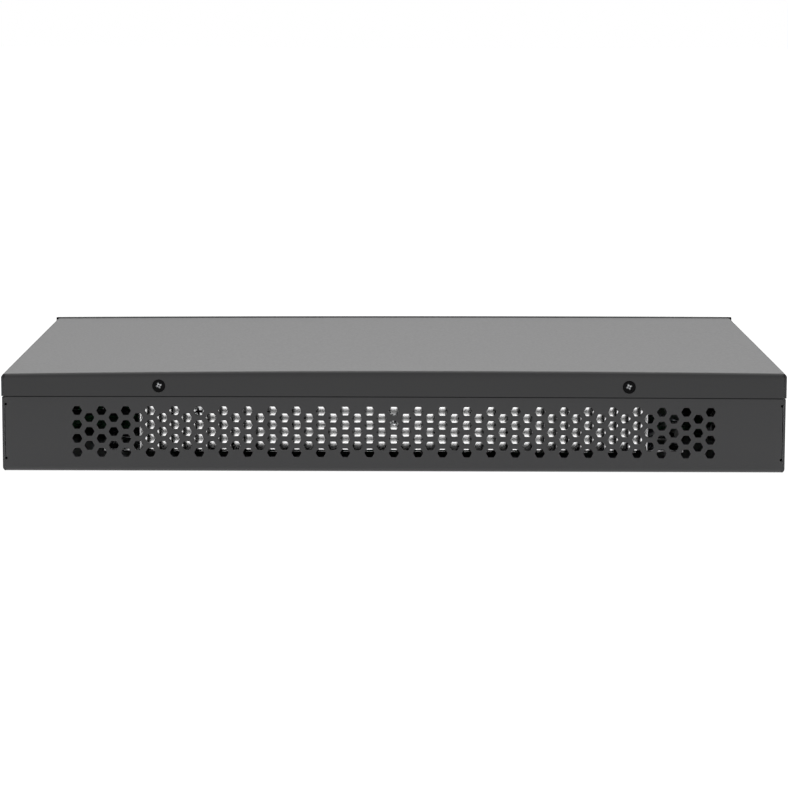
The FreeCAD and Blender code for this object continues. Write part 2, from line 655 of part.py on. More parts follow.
# ---------------------------------------------------------------- button and lamps
def make_button():
    """Cap through the panel, a collar that keeps it in and a stem to its contact switch."""
    y_axis = vec(0, 1, 0)
    face = vec(BUTTON_X, FRONT_Y + FRONT_PROUD, BUTTON_Z)
    collar = vec(BUTTON_X, PANEL_INNER - FIT, BUTTON_Z)
    bevel = 0.4
    crown = taper(16, BUTTON_RADIUS, BUTTON_RADIUS - bevel, face - y_axis * bevel, y_axis * -1, bevel)
    cap = prism(16, BUTTON_RADIUS, (face - collar).Length - bevel, collar, y_axis)
    rim = prism(16, BUTTON_RADIUS + 1.0, BUTTON_COLLAR, collar, y_axis * -1)
    stem = prism(8, 1.5, BUTTON_STEM, collar, y_axis * -1)
    return joined([cap, crown, rim, stem])


def make_contact_switch():
    front = PANEL_INNER - FIT - BUTTON_STEM - BUTTON_TRAVEL - FIT
    return block((BUTTON_X - 3.5, BUTTON_X + 3.5), (front - 5.0, front), (BOARD_TOP, BUTTON_Z + 3.5))


def make_lamp_pipes():
    """Clear rods from behind their holder to just out of the panel."""
    tail = PANEL_INNER - LAMP_TAIL
    length = FRONT_Y + PORT_PROUD - tail
    return group([prism(10, LAMP_RADIUS, length, vec(x, tail, LAMP_Z), vec(0, 1, 0)) for x in LAMP_X])


def make_lamp_holder():
    """Moulded block on the board, behind the panel, that holds the three light pipes."""
    low = min(LAMP_X) - 3.5
    high = max(LAMP_X) + 3.5
    body = block((low, high), (PANEL_INNER - 7.6, PANEL_INNER), (BOARD_TOP, LAMP_Z + 3.5))
    starts = [vec(x, PANEL_INNER - 10, LAMP_Z) for x in LAMP_X]
    return body.cut(group([prism(10, LAMP_RADIUS + LAP_GAP, 20, start, vec(0, 1, 0)) for start in starts]))


# ---------------------------------------------------------------- board and what it carries
def board_fixings():
    """Standoff places under the main board: three along the front, three along the rear."""
    left = -BOARD_LEFT + 6.0
    right = BOARD_RIGHT - 13.0
    middle = 4.0
    rear = BOARD_REAR + 6.0
    front = BOARD_FRONT - 28.5
    places = [(left, front - 13.5), (middle, front), (right, front)]
    return places + [(x, rear) for x in (left, middle, right)]


def make_board():
    board = block((-BOARD_LEFT, BOARD_RIGHT), (BOARD_REAR, BOARD_FRONT), (BOARD_Z, BOARD_TOP))
    relief = centred(INLET_X, FRONT_Y, BOARD_Z - 1, INLET_FLANGE[0] + 4, 2 * (INLET_DEPTH + 12.0), 20)
    holes = [prism(6, M3_CLEAR, 5, vec(x, y, BOARD_Z - 1), vec(0, 0, 1)) for x, y in board_fixings()]
    return board.cut(group(holes + [relief]))


def make_standoff(x, y):
    """Six-sided post on the tray's floor, with a blind hole for its screw."""
    post = prism(6, STANDOFF_RADIUS, STANDOFF, vec(x, y, TRAY_SHEET), vec(0, 0, 1))
    return post.cut(prism(6, M3_CLEAR, STANDOFF, vec(x, y, TRAY_SHEET + 1), vec(0, 0, 1)))


def make_board_standoffs():
    return group([make_standoff(x, y) for x, y in board_fixings()])


def make_board_screws():
    heads = [vec(x, y, BOARD_TOP) for x, y in board_fixings()]
    return group([pan_screw(head, vec(0, 0, 1), BOARD_THICK + 2.6) for head in heads])


def make_heatsink(x, y, size, height, fins):
    """Extruded comb: a square base with upright fins along Y."""
    base = 2.5
    fin = 1.2
    pitch = (size - fin) / (fins - 1)
    points = [(-size / 2, 0), (size / 2, 0)]
    for k in range(fins - 1, -1, -1):
        right = -size / 2 + k * pitch + fin
        left = right - fin
        if k < fins - 1:
            points.append((right, base))
        points += [(right, height), (left, height)]
        if k > 0:
            points.append((left, base))
    z = BOARD_TOP + CHIP_HEIGHT
    face = polygon([vec(x + u, y - size / 2, z + v) for u, v in points])
    return face.extrude(vec(0, size, 0))


def make_chip(name):
    chip = CHIPS[name]
    size = chip["size"]
    return centred(chip["x"], BOARD_FRONT - chip["setback"], BOARD_TOP, size, size, CHIP_HEIGHT)


def make_chip_heatsink(name):
    chip = CHIPS[name]
    return make_heatsink(chip["x"], BOARD_FRONT - chip["setback"], chip["sink"], chip["rise"], chip["fins"])


def make_memory_chips():
    chips = []
    for k in range(3):
        chips.append(centred(-62.0 - 14.0 * k, BOARD_FRONT - 75.0, BOARD_TOP, 9.0, 12.0, 1.2))
    chips.append(centred(-60.0, BOARD_FRONT - 98.0, BOARD_TOP, 8.0, 8.0, 1.5))
    return group(chips)


def make_board_capacitors():
    places = [(-105.0 + 11.0 * k, BOARD_REAR + 12.0) for k in range(4)]
    return group([prism(12, 4.0, 11.0, vec(x, y, BOARD_TOP), vec(0, 0, 1)) for x, y in places])


# ---------------------------------------------------------------- power supply
def foot_places():
    """Middle of each foot screw; each end of the case has one at the rear and one at the front."""
    x = CASE_HALF + FOOT_SCREW_OUT
    rear = CASE_REAR + FOOT_SCREW_IN
    front = CASE_FRONT - FOOT_SCREW_IN
    return [(side * x, y) for side in (-1, 1) for y in (rear, front)]


def make_power_base():
    """Floor plate of the supply with four foot tabs."""
    pieces = [block((-CASE_HALF, CASE_HALF), (CASE_REAR, CASE_FRONT), (CASE_BASE, CASE_FLOOR))]
    for x, y in foot_places():
        near = math.copysign(CASE_HALF - 1.0, x)
        far = math.copysign(CASE_HALF + FOOT_LENGTH, x)
        across = (y - FOOT_WIDTH / 2, y + FOOT_WIDTH / 2)
        pieces.append(block(sorted((near, far)), across, (CASE_BASE, CASE_FLOOR)))
    base = joined(pieces)
    return base.cut(group([prism(6, M3_CLEAR, 3, vec(x, y, CASE_BASE - 1), vec(0, 0, 1))
                           for x, y in foot_places()]))


def plate_screw_places():
    """Two screws in the case's rear wall: the middle one and one towards the left end."""
    across = (PLATE_SCREW_X[0], PLATE_SCREW_X[1] - CASE_HALF)
    return [vec(x, CASE_REAR, CASE_BASE + rise) for x, rise in zip(across, PLATE_SCREW_RISE)]


def make_power_case():
    """Five-sided sheet cover standing on the floor plate."""
    outer = block((-CASE_HALF, CASE_HALF), (CASE_REAR, CASE_FRONT), (CASE_FLOOR, CASE_TOP))
    edges = [edge for edge in outer.Edges if abs(edge.BoundBox.ZLength - (CASE_TOP - CASE_FLOOR)) < 0.01]
    outer = outer.makeFillet(1.2, edges)
    t = CASE_SHEET
    inner = block((-CASE_HALF + t, CASE_HALF - t), (CASE_REAR + t, CASE_FRONT - t),
                  (CASE_FLOOR - 1, CASE_TOP - t))
    case = outer.cut(inner)
    cuts = [prism(6, M3_CLEAR, 4, place - vec(0, 1, 0), vec(0, 1, 0)) for place in plate_screw_places()]
    cuts.append(block((-CASE_HALF - 1, -CASE_HALF + t + 1), (MAINS_ENTRY_Y - 5.5, MAINS_ENTRY_Y + 5.5),
                      (INLET_Z - 4, INLET_Z + 4)))
    cuts.append(block((DC_X - 8, DC_X + 8), (CASE_FRONT - t - 1, CASE_FRONT + 1),
                      (DC_LEAD_Z - 3, DC_LEAD_Z + 3)))
    return case.cut(group(cuts))


def make_plate_screws():
    return group([pan_screw(place, vec(0, -1, 0), 3.5, 2.6, 1.6) for place in plate_screw_places()])


def make_power_standoffs():
    return group([make_standoff(x, y) for x, y in foot_places()])


def make_foot_screws():
    return group([pan_screw(vec(x, y, CASE_FLOOR), vec(0, 0, 1), CASE_SHEET + 3.0, 3.0, 2.2)
                  for x, y in foot_places()])


def make_power_board():
    half = CASE_HALF - POWER_BOARD_MARGIN
    return block((-half, half), (CASE_REAR + POWER_BOARD_MARGIN, CASE_FRONT - POWER_BOARD_MARGIN),
                 (POWER_BOARD_Z, POWER_TOP))


def make_power_board_pads():
    half_x = CASE_HALF - 8
    half_y = CASE_DEPTH / 2 - 8
    places = [(sx * half_x, CASE_MIDDLE_Y + sy * half_y) for sx in (-1, 1) for sy in (-1, 1)]
    return group([prism(6, 3.0, POWER_BOARD_RISE, vec(x, y, CASE_FLOOR), vec(0, 0, 1)) for x, y in places])


def make_transformer():
    """Ferrite core round a wound bobbin."""
    x = TRANSFORMER_IN - CASE_HALF
    core = centred(x, CASE_MIDDLE_Y, POWER_TOP, 28.0, 9.0, CORE_HEIGHT)
    coil = centred(x, CASE_MIDDLE_Y, POWER_TOP + 3.0, 20.0, 26.0, CORE_HEIGHT - 6.0)
    return core.fuse(coil).removeSplitter()


def make_bulk_capacitors():
    feet = [vec(from_end - CASE_HALF, CASE_MIDDLE_Y, POWER_TOP) for from_end in BULK_IN]
    return group([prism(12, POWER_BULK_RADIUS, POWER_TALL, foot, vec(0, 0, 1)) for foot in feet])


def make_power_heatsinks():
    return group([centred(from_end - CASE_HALF, CASE_MIDDLE_Y, POWER_TOP, 4.0, 38.0, CORE_HEIGHT)
                  for from_end in HEATSINK_IN])


def make_choke():
    """Toroid that filters the mains."""
    middle = vec(CHOKE_IN - CASE_HALF, CASE_MIDDLE_Y, POWER_TOP)
    toroid = prism(12, 9.0, 9.0, middle, vec(0, 0, 1))
    return toroid.cut(prism(12, 4.0, 9.0, middle, vec(0, 0, 1)))


# ---------------------------------------------------------------- wiring
def hexagon_lead(points, radius, bend):
    """Lead of six-sided section along straight runs, each corner turned in three short runs."""
    route = [points[0]]
    for before, corner, after in zip(points[:-2], points[1:-1], points[2:]):
        back = (before - corner).normalize()
        ahead = (after - corner).normalize()
        for share_back, share_ahead in ((1.0, 0.0), (0.42, 0.12), (0.12, 0.42), (0.0, 1.0)):
            route.append(corner + back * (bend * share_back) + ahead * (bend * share_ahead))
    route.append(points[-1])
    along = (points[1] - points[0]).normalize()
    turn = FreeCAD.Rotation(vec(0, 0, 1), along)
    section = Part.makePolygon([points[0] + turn.multVec(vec(radius * math.cos(k * math.pi / 3),
                                                             radius * math.sin(k * math.pi / 3), 0))
                                for k in range(7)])
    return Part.makePolygon(route).makePipeShell([section], True, False, 1)


def make_mains_leads():
    """Live, neutral and earth from the inlet's blades straight back, then into the end of the supply."""
    leads = []
    for x, z in blade_places():
        entry = MAINS_ENTRY_Y + (x - INLET_X) / 2
        points = [vec(x, BLADE_BACK, z), vec(x, entry, z), vec(-CASE_HALF + 6.0, entry, z)]
        leads.append(hexagon_lead(points, MAINS_LEAD_RADIUS, LEAD_BEND))
    return group(leads)


def make_dc_leads():
    """Low-voltage leads from the supply forward to the board's header."""
    leads = []
    for x in (DC_X - 2.0, DC_X + 2.0):
        points = [vec(x, CASE_FRONT - 6.0, DC_LEAD_Z), vec(x, HEADER_Y, DC_LEAD_Z),
                  vec(x, HEADER_Y, BOARD_TOP + HEADER_HEIGHT)]
        leads.append(hexagon_lead(points, DC_LEAD_RADIUS, LEAD_BEND))
    return group(leads)


def make_power_header():
    return centred(DC_X, HEADER_Y, BOARD_TOP, 16.0, 8.0, HEADER_HEIGHT)


# ---------------------------------------------------------------- fans
def fan_screw_places(fan_y):
    half = FAN_HOLE_SPACING / 2
    return [(fan_y - half, FAN_Z - half), (fan_y + half, FAN_Z + half)]


def make_fan_frame(fan_y):
    """Square frame with a round duct, a motor plate on four arms and the rotor's shaft."""
    x_axis = vec(1, 0, 0)
    body = block((FAN_INNER_X, FAN_OUTER_X), (fan_y - FAN_SIZE / 2, fan_y + FAN_SIZE / 2),
                 (FAN_Z - FAN_SIZE / 2, FAN_Z + FAN_SIZE / 2))
    body = body.cut(prism(24, FAN_BORE, FAN_DEPTH + 2, vec(FAN_INNER_X - 1, fan_y, FAN_Z), x_axis))
    holes = [prism(10, FAN_HOLE, 7, vec(FAN_INNER_X - 1, y, z), x_axis) for y, z in fan_screw_places(fan_y)]
    body = body.cut(group(holes))
    plate_x = FAN_OUTER_X - 2.0
    plate = prism(16, FAN_HUB - 0.5, 2.0, vec(plate_x, fan_y, FAN_Z), x_axis)
    shaft = rod(SHAFT_RADIUS, 9.0, vec(plate_x - 8.5, fan_y, FAN_Z), x_axis)
    reach = FAN_BORE + 0.5
    across = block((plate_x, FAN_OUTER_X), (fan_y - reach, fan_y + reach), (FAN_Z - 1.0, FAN_Z + 1.0))
    upright = block((plate_x, FAN_OUTER_X), (fan_y - 1.0, fan_y + 1.0), (FAN_Z - reach, FAN_Z + reach))
    return joined([body, plate, shaft, across, upright])


def make_fan_rotor(fan_y):
    """Hub cup with pitched blades, running on the frame's shaft."""
    x_axis = vec(1, 0, 0)
    front = FAN_INNER_X + 1.0
    back = FAN_OUTER_X - 2.6
    centre = vec(0, fan_y, FAN_Z)
    hub = prism(18, FAN_HUB, back - front, centre + vec(front, 0, 0), x_axis)
    swept = prism(24, FAN_TIP, back - front, centre + vec(front, 0, 0), x_axis)
    bow = BLADE_CAMBER
    middle = (front + back) / 2
    corners = [(front + 0.8, -BLADE_SWEEP), (front + 2.0, -BLADE_SWEEP), (middle + bow + 0.8, -bow),
               (back - 0.8, BLADE_SWEEP), (back - 2.0, BLADE_SWEEP), (middle + bow - 0.6, -bow)]
    blades = []
    for k in range(FAN_BLADES):
        blade = polygon([vec(u, v, FAN_HUB - 1.5) for u, v in corners]).extrude(vec(0, 0, FAN_TIP))
        blade.rotate(vec(0, 0, 0), x_axis, 360 * k / FAN_BLADES)
        blade.translate(centre)
        blades.append(blade.common(swept))
    rotor = joined([hub] + blades)
    bore = rod(SHAFT_RADIUS + SHAFT_PLAY, 9.0, centre + vec(back - 8.6, 0, 0), x_axis)
    return rotor.cut(bore)


def make_fan_bracket():
    """Upright plate with an air window for each fan and a foot on the tray's floor."""
    low = FAN_Y[0] - FAN_SIZE / 2
    high = FAN_Y[1] + FAN_SIZE / 2
    top = TRAY_SHEET + FAN_SIZE
    plate = block((FAN_INNER_X - BRACKET_SHEET, FAN_INNER_X), (low, high), (TRAY_SHEET, top))
    foot = block((FAN_INNER_X - 10.0, FAN_INNER_X), (low, high), (TRAY_SHEET, TRAY_SHEET + BRACKET_SHEET))
    bracket = joined([plate, foot])
    cuts = [prism(16, FAN_BORE, 4, vec(FAN_INNER_X - 2.5, y, FAN_Z), vec(1, 0, 0)) for y in FAN_Y]
    for fan_y in FAN_Y:
        cuts += [prism(6, M3_CLEAR, 4, vec(FAN_INNER_X - 2.5, y, z), vec(1, 0, 0))
                 for y, z in fan_screw_places(fan_y)]
    return bracket.cut(group(cuts))


def make_fan_screws():
    screws = []
    for fan_y in FAN_Y:
        for y, z in fan_screw_places(fan_y):
            screws.append(pan_screw(vec(FAN_INNER_X - BRACKET_SHEET, y, z), vec(-1, 0, 0), 5.5, 2.7, 1.6))
    return group(screws)


# ---------------------------------------------------------------- every sub-part, by name
NODES = {
    "base_tray": make_tray(),
    "rear_vent_wall": make_rear_wall(),
    "port_panel": make_port_panel(),
    "top_cover": make_cover(),
    "rear_cover_screws": make_rear_cover_screws(),
    "side_cover_screws": make_side_cover_screws(),
    "power_base_plate": make_power_base(),
    "power_supply_case": make_power_case(),
    "power_plate_screws": make_plate_screws(),
    "power_standoffs": make_power_standoffs(),
    "power_foot_screws": make_foot_screws(),
    "power_board": make_power_board(),
    "power_board_pads": make_power_board_pads(),
    "power_transformer": make_transformer(),
    "bulk_capacitors": make_bulk_capacitors(),
    "power_heatsinks": make_power_heatsinks(),
    "mains_choke": make_choke(),
    "mains_leads": make_mains_leads(),
    "dc_leads": make_dc_leads(),
    "power_header": make_power_header(),
    "main_board": make_board(),
    "board_standoffs": make_board_standoffs(),
    "board_screws": make_board_screws(),
    "memory_chips": make_memory_chips(),
    "board_capacitors": make_board_capacitors(),
    "console_jack": make_console_jack(),
    "mains_inlet": make_inlet(),
    "mains_inlet_blades": make_blades(),
    "mains_inlet_screws": make_inlet_screws(),
    "mode_button": make_button(),
    "mode_contact_switch": make_contact_switch(),
    "status_light_pipes": make_lamp_pipes(),
    "light_pipe_holder": make_lamp_holder(),
    "fan_bracket": make_fan_bracket(),
    "fan_screws": make_fan_screws(),
}
for number, block_x in enumerate(BLOCK_X, 1):
    NODES[f"port_block_{number}"] = make_jack_block(block_x)
for number, cage_x in enumerate(CAGE_X, 1):
    NODES[f"module_cage_{number}"] = make_cage(cage_x)
for chip_name in CHIPS:
    NODES[chip_name] = make_chip(chip_name)
    NODES[chip_name.replace("chip", "heatsink")] = make_chip_heatsink(chip_name)
for number, fan_middle in enumerate(FAN_Y, 1):
    NODES[f"fan_frame_{number}"] = make_fan_frame(fan_middle)
    NODES[f"fan_rotor_{number}"] = make_fan_rotor(fan_middle)

os.makedirs("parts", exist_ok=True)
for name, shape in NODES.items():
    shape.exportStep(f"parts/{name}.step")
    volume = shape.Volume / 1000
    print(f"{name:26s} solids {len(shape.Solids):3d}  volume {volume:9.3f} cm3  valid {shape.isValid()}")
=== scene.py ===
import bmesh
import bpy
import math
import numpy as np
from mathutils import Matrix, Vector


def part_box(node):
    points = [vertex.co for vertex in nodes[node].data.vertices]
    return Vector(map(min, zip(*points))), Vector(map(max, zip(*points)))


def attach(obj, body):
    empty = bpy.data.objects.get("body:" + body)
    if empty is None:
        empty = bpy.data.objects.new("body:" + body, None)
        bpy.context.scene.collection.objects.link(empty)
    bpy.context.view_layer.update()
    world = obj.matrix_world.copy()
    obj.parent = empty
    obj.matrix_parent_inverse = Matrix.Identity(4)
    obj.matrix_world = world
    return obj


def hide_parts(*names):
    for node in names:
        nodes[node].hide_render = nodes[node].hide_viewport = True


# %% [markdown]
# # A compact rack switch, looks only
#
# The switch is a folded steel tray, a rear wall full of hexagons and a lid that hangs over three sides.
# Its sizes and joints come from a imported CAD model, which is loaded here as a fixed frame. This lesson
# puts real finishes on that frame, and makes again, as finer surfaces, the pieces that the eye rests on:
# the lid, the vented wall, the port panel, the tray, the screws, the light pipes and the jacks' contacts.
#
# Blender works in metres. Everything below is written in millimetres and turned into metres once.

# %% Load the frame and note its outer box
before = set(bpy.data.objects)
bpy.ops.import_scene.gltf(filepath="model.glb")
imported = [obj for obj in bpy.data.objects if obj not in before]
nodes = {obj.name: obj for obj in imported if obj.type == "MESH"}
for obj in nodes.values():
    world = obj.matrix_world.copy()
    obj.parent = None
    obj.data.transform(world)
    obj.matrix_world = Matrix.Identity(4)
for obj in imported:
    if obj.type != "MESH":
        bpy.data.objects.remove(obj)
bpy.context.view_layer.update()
MM = 0.001


def box(name):
    """Lowest and highest corner of a CAD node, in mm, as two arrays."""
    low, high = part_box(name)
    return np.array(low) / MM, np.array(high) / MM


def solids(name):
    """Boxes (low, high) in mm of the separate solids in one CAD node, from left to right, then back.

    Points at the same place count as one. Each edge passes the lower of its two points' numbers on to both
    until nothing changes, so that each solid ends with one number."""
    mesh = nodes[name].data
    points = np.array([vertex.co[:] for vertex in mesh.vertices]) / MM
    same = np.unique(np.round(points, 3), axis=0, return_inverse=True)[1].reshape(-1)
    edges = same[np.array([edge.vertices[:] for edge in mesh.edges])]
    label = np.arange(same.max() + 1)
    while True:
        low = np.minimum(label[edges[:, 0]], label[edges[:, 1]])
        fresh = label.copy()
        np.minimum.at(fresh, edges[:, 0], low)
        np.minimum.at(fresh, edges[:, 1], low)
        if (fresh == label).all():
            break
        label = fresh
    owner = label[same]
    found = [(points[owner == k].min(0), points[owner == k].max(0)) for k in np.unique(owner)]
    return sorted(found, key=lambda pair: tuple(np.round(pair[0], 1)))


def middles(name):
    """Middle of each separate solid in one CAD node."""
    return [(low + high) / 2 for low, high in solids(name)]


# %% [markdown]
# ## Colour, nodes and pattern sizes
#
# A colour picked from a paint card is an sRGB hex value, but shaders add up light, so they need it
# linear. One function turns the one into the other. A second adds a shader node with its settings and its
# links in one call, so that a material reads like a recipe. A third gives the scale that makes a noise
# texture's lumps as wide as a size in millimetres.


# %% Three small helpers
def linear(hex_colour):
    """sRGB to linear: a channel c is c / 12.92 when small, else ((c + 0.055) / 1.055) to the power 2.4."""
    channels = np.array([int(hex_colour[k:k + 2], 16) / 255 for k in (1, 3, 5)])
    values = np.where(channels <= 0.04045, channels / 12.92, ((channels + 0.055) / 1.055) ** 2.4)
    return (*values.tolist(), 1.0)


def add(tree, kind, inputs=None, **settings):
    """Adds a node to tree, sets its own settings, then each input: a socket is linked, a value is set."""
    node = tree.nodes.new(kind)
    for name, value in settings.items():
        setattr(node, name, value)
    for name, value in (inputs or {}).items():
        if isinstance(value, bpy.types.NodeSocket):
            tree.links.new(value, node.inputs[name])
        else:
            node.inputs[name].default_value = value
    return node


def per_mm(size):
    """Noise scale for lumps about size millimetres wide."""
    return 1 / (size * MM)


# %% [markdown]
# ## Surfaces from arrays
#
# Each new piece is a surface worked out with numpy: an array of points with rows and columns. A patch is
# such an array with the four-cornered faces between its points, wound so that they face outwards. A piece
# is one or more patches, welded where their edges meet, and shaded smooth except at sharp corners. The same
# shapes could be pushed and pulled by hand, but then no size has a name and nothing can be tried again.


# %% Points and patches
def grid(*directions):
    """Array of points from its x, y and z, each a number, a row, a column or a whole grid."""
    return np.stack(np.broadcast_arrays(*directions), -1)


def standing(flat, at, along_x=True):
    """Points of an upright plane: a flat (u, z) becomes (u, at, z), or (at, u, z) on a plane along Y."""
    u, z = flat[..., 0], flat[..., 1]
    return grid(u, at, z) if along_x else grid(at, u, z)


def patch(points, wrap=False, flip=False, keep=None):
    """Grid of points, rows by columns by 3, as (points, faces).

    Face (i, j) joins points (i, j), (i, j+1), (i+1, j+1) and (i+1, j). With wrap the last column meets the
    first. keep holds one truth value per face and drops the others."""
    rows, columns = points.shape[:2]
    i, j = np.meshgrid(np.arange(rows - 1), np.arange(columns if wrap else columns - 1), indexing="ij")
    right = (j + 1) % columns
    start, after = i * columns, (i + 1) * columns
    faces = np.stack([start + j, start + right, after + right, after + j], -1)
    faces = faces[keep] if keep is not None else faces.reshape(-1, 4)
    return points.reshape(-1, 3), faces[:, ::-1] if flip else faces


# %% Pieces
def in_scene(name, data, body=None, instead_of=()):
    """New object in the scene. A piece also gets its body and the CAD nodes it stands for."""
    made = bpy.data.objects.new(name, data)
    bpy.context.scene.collection.objects.link(made)
    if body:
        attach(made, body)
    if instead_of:
        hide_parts(*instead_of)
    return made


def piece(name, patches, material, body="chassis", polygons=(), smooth=35, weld=0.002, instead_of=(),
          slot=None, mark=None, outward=True):
    """One object from patches in mm and from extra many-cornered faces, each an array of points in mm.

    mark gives each point a number that its material can read. Points closer than weld become one. Then the
    faces are turned the same way round, and outwards: the sum of area times (normal . way from the middle)
    must be more than nothing. A lining has outward False and faces inwards. Edges sharper than smooth
    degrees stay sharp."""
    points = [part[0] for part in patches] + [np.asarray(part, float) for part in polygons]
    starts = np.concatenate([[0], np.cumsum([len(part) for part in points])])
    faces = []
    for start, part in zip(starts, patches):
        faces += (part[1] + start).tolist()
    for start, part in zip(starts[len(patches):], polygons):
        faces.append(list(range(start, start + len(part))))
    mesh = bpy.data.meshes.new(name)
    mesh.from_pydata((np.concatenate(points) * MM).tolist(), [], faces)
    if mark is not None:
        mesh.attributes.new("mark", "FLOAT", "POINT").data.foreach_set("value", np.ravel(mark).astype("f"))
    work = bmesh.new()
    work.from_mesh(mesh)
    bmesh.ops.remove_doubles(work, verts=work.verts, dist=weld * MM)
    bmesh.ops.recalc_face_normals(work, faces=work.faces)
    middle = sum((vertex.co for vertex in work.verts), Vector()) / len(work.verts)
    swell = sum(face.normal.dot(face.calc_center_median() - middle) * face.calc_area()
                for face in work.faces)
    if (swell > 0) != outward:
        bmesh.ops.reverse_faces(work, faces=work.faces)
    return finished(work, mesh, material, smooth, name, body, instead_of)


def finished(work, mesh, material, smooth, name, body, instead_of):
    """Writes the worked faces back to their mesh, shades and paints it, and puts it in the scene."""
    work.to_mesh(mesh)
    work.free()
    mesh.shade_smooth()
    mesh.set_sharp_from_angle(angle=math.radians(smooth))
    mesh.materials.clear()
    mesh.materials.append(material)
    return in_scene(name, mesh, body, instead_of)


def marked_piece(name, parts, material, **rest):
    """Piece from (patch, marks) pairs."""
    return piece(name, [part for part, marks in parts], material,
                 mark=np.concatenate([marks for part, marks in parts]), **rest)


# %% Thickness and rounded edges
def thicken(made, thickness, edge=0.15, sides=2, angle=35, inside=None):
    """Gives a skin its sheet's thickness, behind the skin, and rounds its cut edges as paint rounds them.

    inside is the finish of the sheet's other face, when it is not painted like the outer one."""
    sheet = made.modifiers.new("sheet", "SOLIDIFY")
    sheet.thickness = thickness * MM
    sheet.offset = -1
    sheet.use_even_offset = True
    if inside is not None:
        made.data.materials.append(inside)
        sheet.material_offset = 1
    soften(made, edge, sides, angle)


def soften(made, edge, sides=2, angle=35):
    """Rounds every edge that is sharper than angle, by edge millimetres.

    The flat faces keep their own normals, so that a large flat doesn't look hollow beside a small bevel."""
    rounding = made.modifiers.new("edges", "BEVEL")
    rounding.width = edge * MM
    rounding.segments = sides
    rounding.limit_method = "ANGLE"
    rounding.angle_limit = math.radians(angle)
    rounding.use_clamp_overlap = True
    rounding.harden_normals = True


# %% [markdown]
# A round hole could be cut into a sheet with a Boolean modifier, but that leaves long thin triangles, which
# shade badly. Here it is made in two steps. The sheet's grid leaves out a square cell, and a ring of faces
# goes from the square to the circle. The ring's outline has six equal parts on each side and the sheet's
# grid has lines at the same places, so that every point of the one meets a point of the other. Where they
# don't meet, a sheet that is given a thickness gets a crack.

# %% Grid lines and holes
HOLE_PARTS = 6


def lines(*spans):
    """Sorted grid lines from (start, stop, parts) spans, each cut in equal parts; shared ends count once."""
    values = np.concatenate([np.linspace(start, stop, parts + 1) for start, stop, parts in spans])
    return np.unique(np.round(values, 4))


def hole_lines(centre, half):
    """Span of grid lines that meet a hole_ring's outline in one direction."""
    return (centre - half, centre + half, HOLE_PARTS)


def merged(*groups):
    """Sorted grid lines from several lists, without repeats."""
    return np.unique(np.round(np.concatenate(groups), 3))


def hole_ring(centre, half, radius, at, along_x=True, flip=False):
    """Ring from a square outline of that half size to a round hole, on the upright plane at that place.

    Its point at angle a is joined to the circle's point at the same angle, centre + radius (cos a, sin a),
    with one row of points 0.6 of the way between them."""
    side = np.linspace(-half, half, HOLE_PARTS + 1)[:-1]
    square = np.concatenate([np.stack([side, side * 0 - half], 1), np.stack([side * 0 + half, side], 1),
                             np.stack([-side, side * 0 + half], 1), np.stack([side * 0 - half, -side], 1)])
    angle = np.arctan2(square[:, 1], square[:, 0])
    circle = radius * np.stack([np.cos(angle), np.sin(angle)], 1)
    share = np.array([0, 0.6, 1])[:, None, None]
    flat = np.asarray(centre) + square * (1 - share) + circle * share
    return patch(standing(flat, at, along_x), wrap=True, flip=flip)


def face_middles(points):
    """Middle of each face of a grid of points, as arrays of x, y and z."""
    return np.moveaxis((points[1:, 1:] + points[:-1, :-1]) / 2, -1, 0)


def near(values, place, reach):
    """True where values are closer to place than reach."""
    return abs(values - place) < reach


# %% [markdown]
# ## Camera and studio
#
# The switch is looked at from behind, a little above the lid, with a long lens. A camera can be made to
# track an object, but then it can't lean. So its three axes are worked out from how far it looks down, to
# the side and how far it leans, in radians. Its place and its lens are in mm.

# %% Camera
LOOK_DOWN = 0.13466
LOOK_ASIDE = 0.00048
LEAN = 0.00304
LENS = 137.06
CAMERA_PLACE = (-0.6, -1400.8, 208.9)
ahead = Vector((math.sin(LOOK_ASIDE) * math.cos(LOOK_DOWN),
                math.cos(LOOK_ASIDE) * math.cos(LOOK_DOWN), -math.sin(LOOK_DOWN)))
across = ahead.cross(Vector((0, 0, 1))).normalized()
upward = across.cross(ahead)
right = across * math.cos(LEAN) + upward * math.sin(LEAN)
top = upward * math.cos(LEAN) - across * math.sin(LEAN)
camera = in_scene("camera", bpy.data.cameras.new("camera"))
camera.data.sensor_width = 36
camera.data.lens = LENS
camera.data.clip_end = 50
camera.matrix_world = Matrix.Translation(Vector(CAMERA_PLACE) * MM) @ Matrix(
    (right, top, -ahead)).transposed().to_4x4()
bpy.context.scene.camera = camera
bpy.context.scene.view_settings.view_transform = "Standard"
print("camera looks down", round(math.degrees(LOOK_DOWN), 2), "degrees")

# %% [markdown]
# A white room would wash dark paint out, so floor and sky are white only where they are seen: by the
# camera, in a reflection or through clear plastic. As lamps they are much dimmer.
#
# The sky is one background with two strengths. The floor is matt paint, which takes the switch's shadow,
# with a glow added. Its glow differs along the room: bright close to the switch and nearly dark in front,
# because a glossy rear wall mirrors the floor in front of it and would turn grey there.


# %% Sky
def seen_directly(tree):
    """1 for what the camera, a reflection or clear plastic sees, 0 for light that falls on things."""
    path = add(tree, "ShaderNodeLightPath")
    shiny = add(tree, "ShaderNodeMath", {0: path.outputs["Is Camera Ray"], 1: path.outputs["Is Glossy Ray"]},
                operation="MAXIMUM")
    clear = add(tree, "ShaderNodeMath", {0: shiny.outputs[0], 1: path.outputs["Is Transmission Ray"]},
                operation="MAXIMUM")
    return clear.outputs[0]


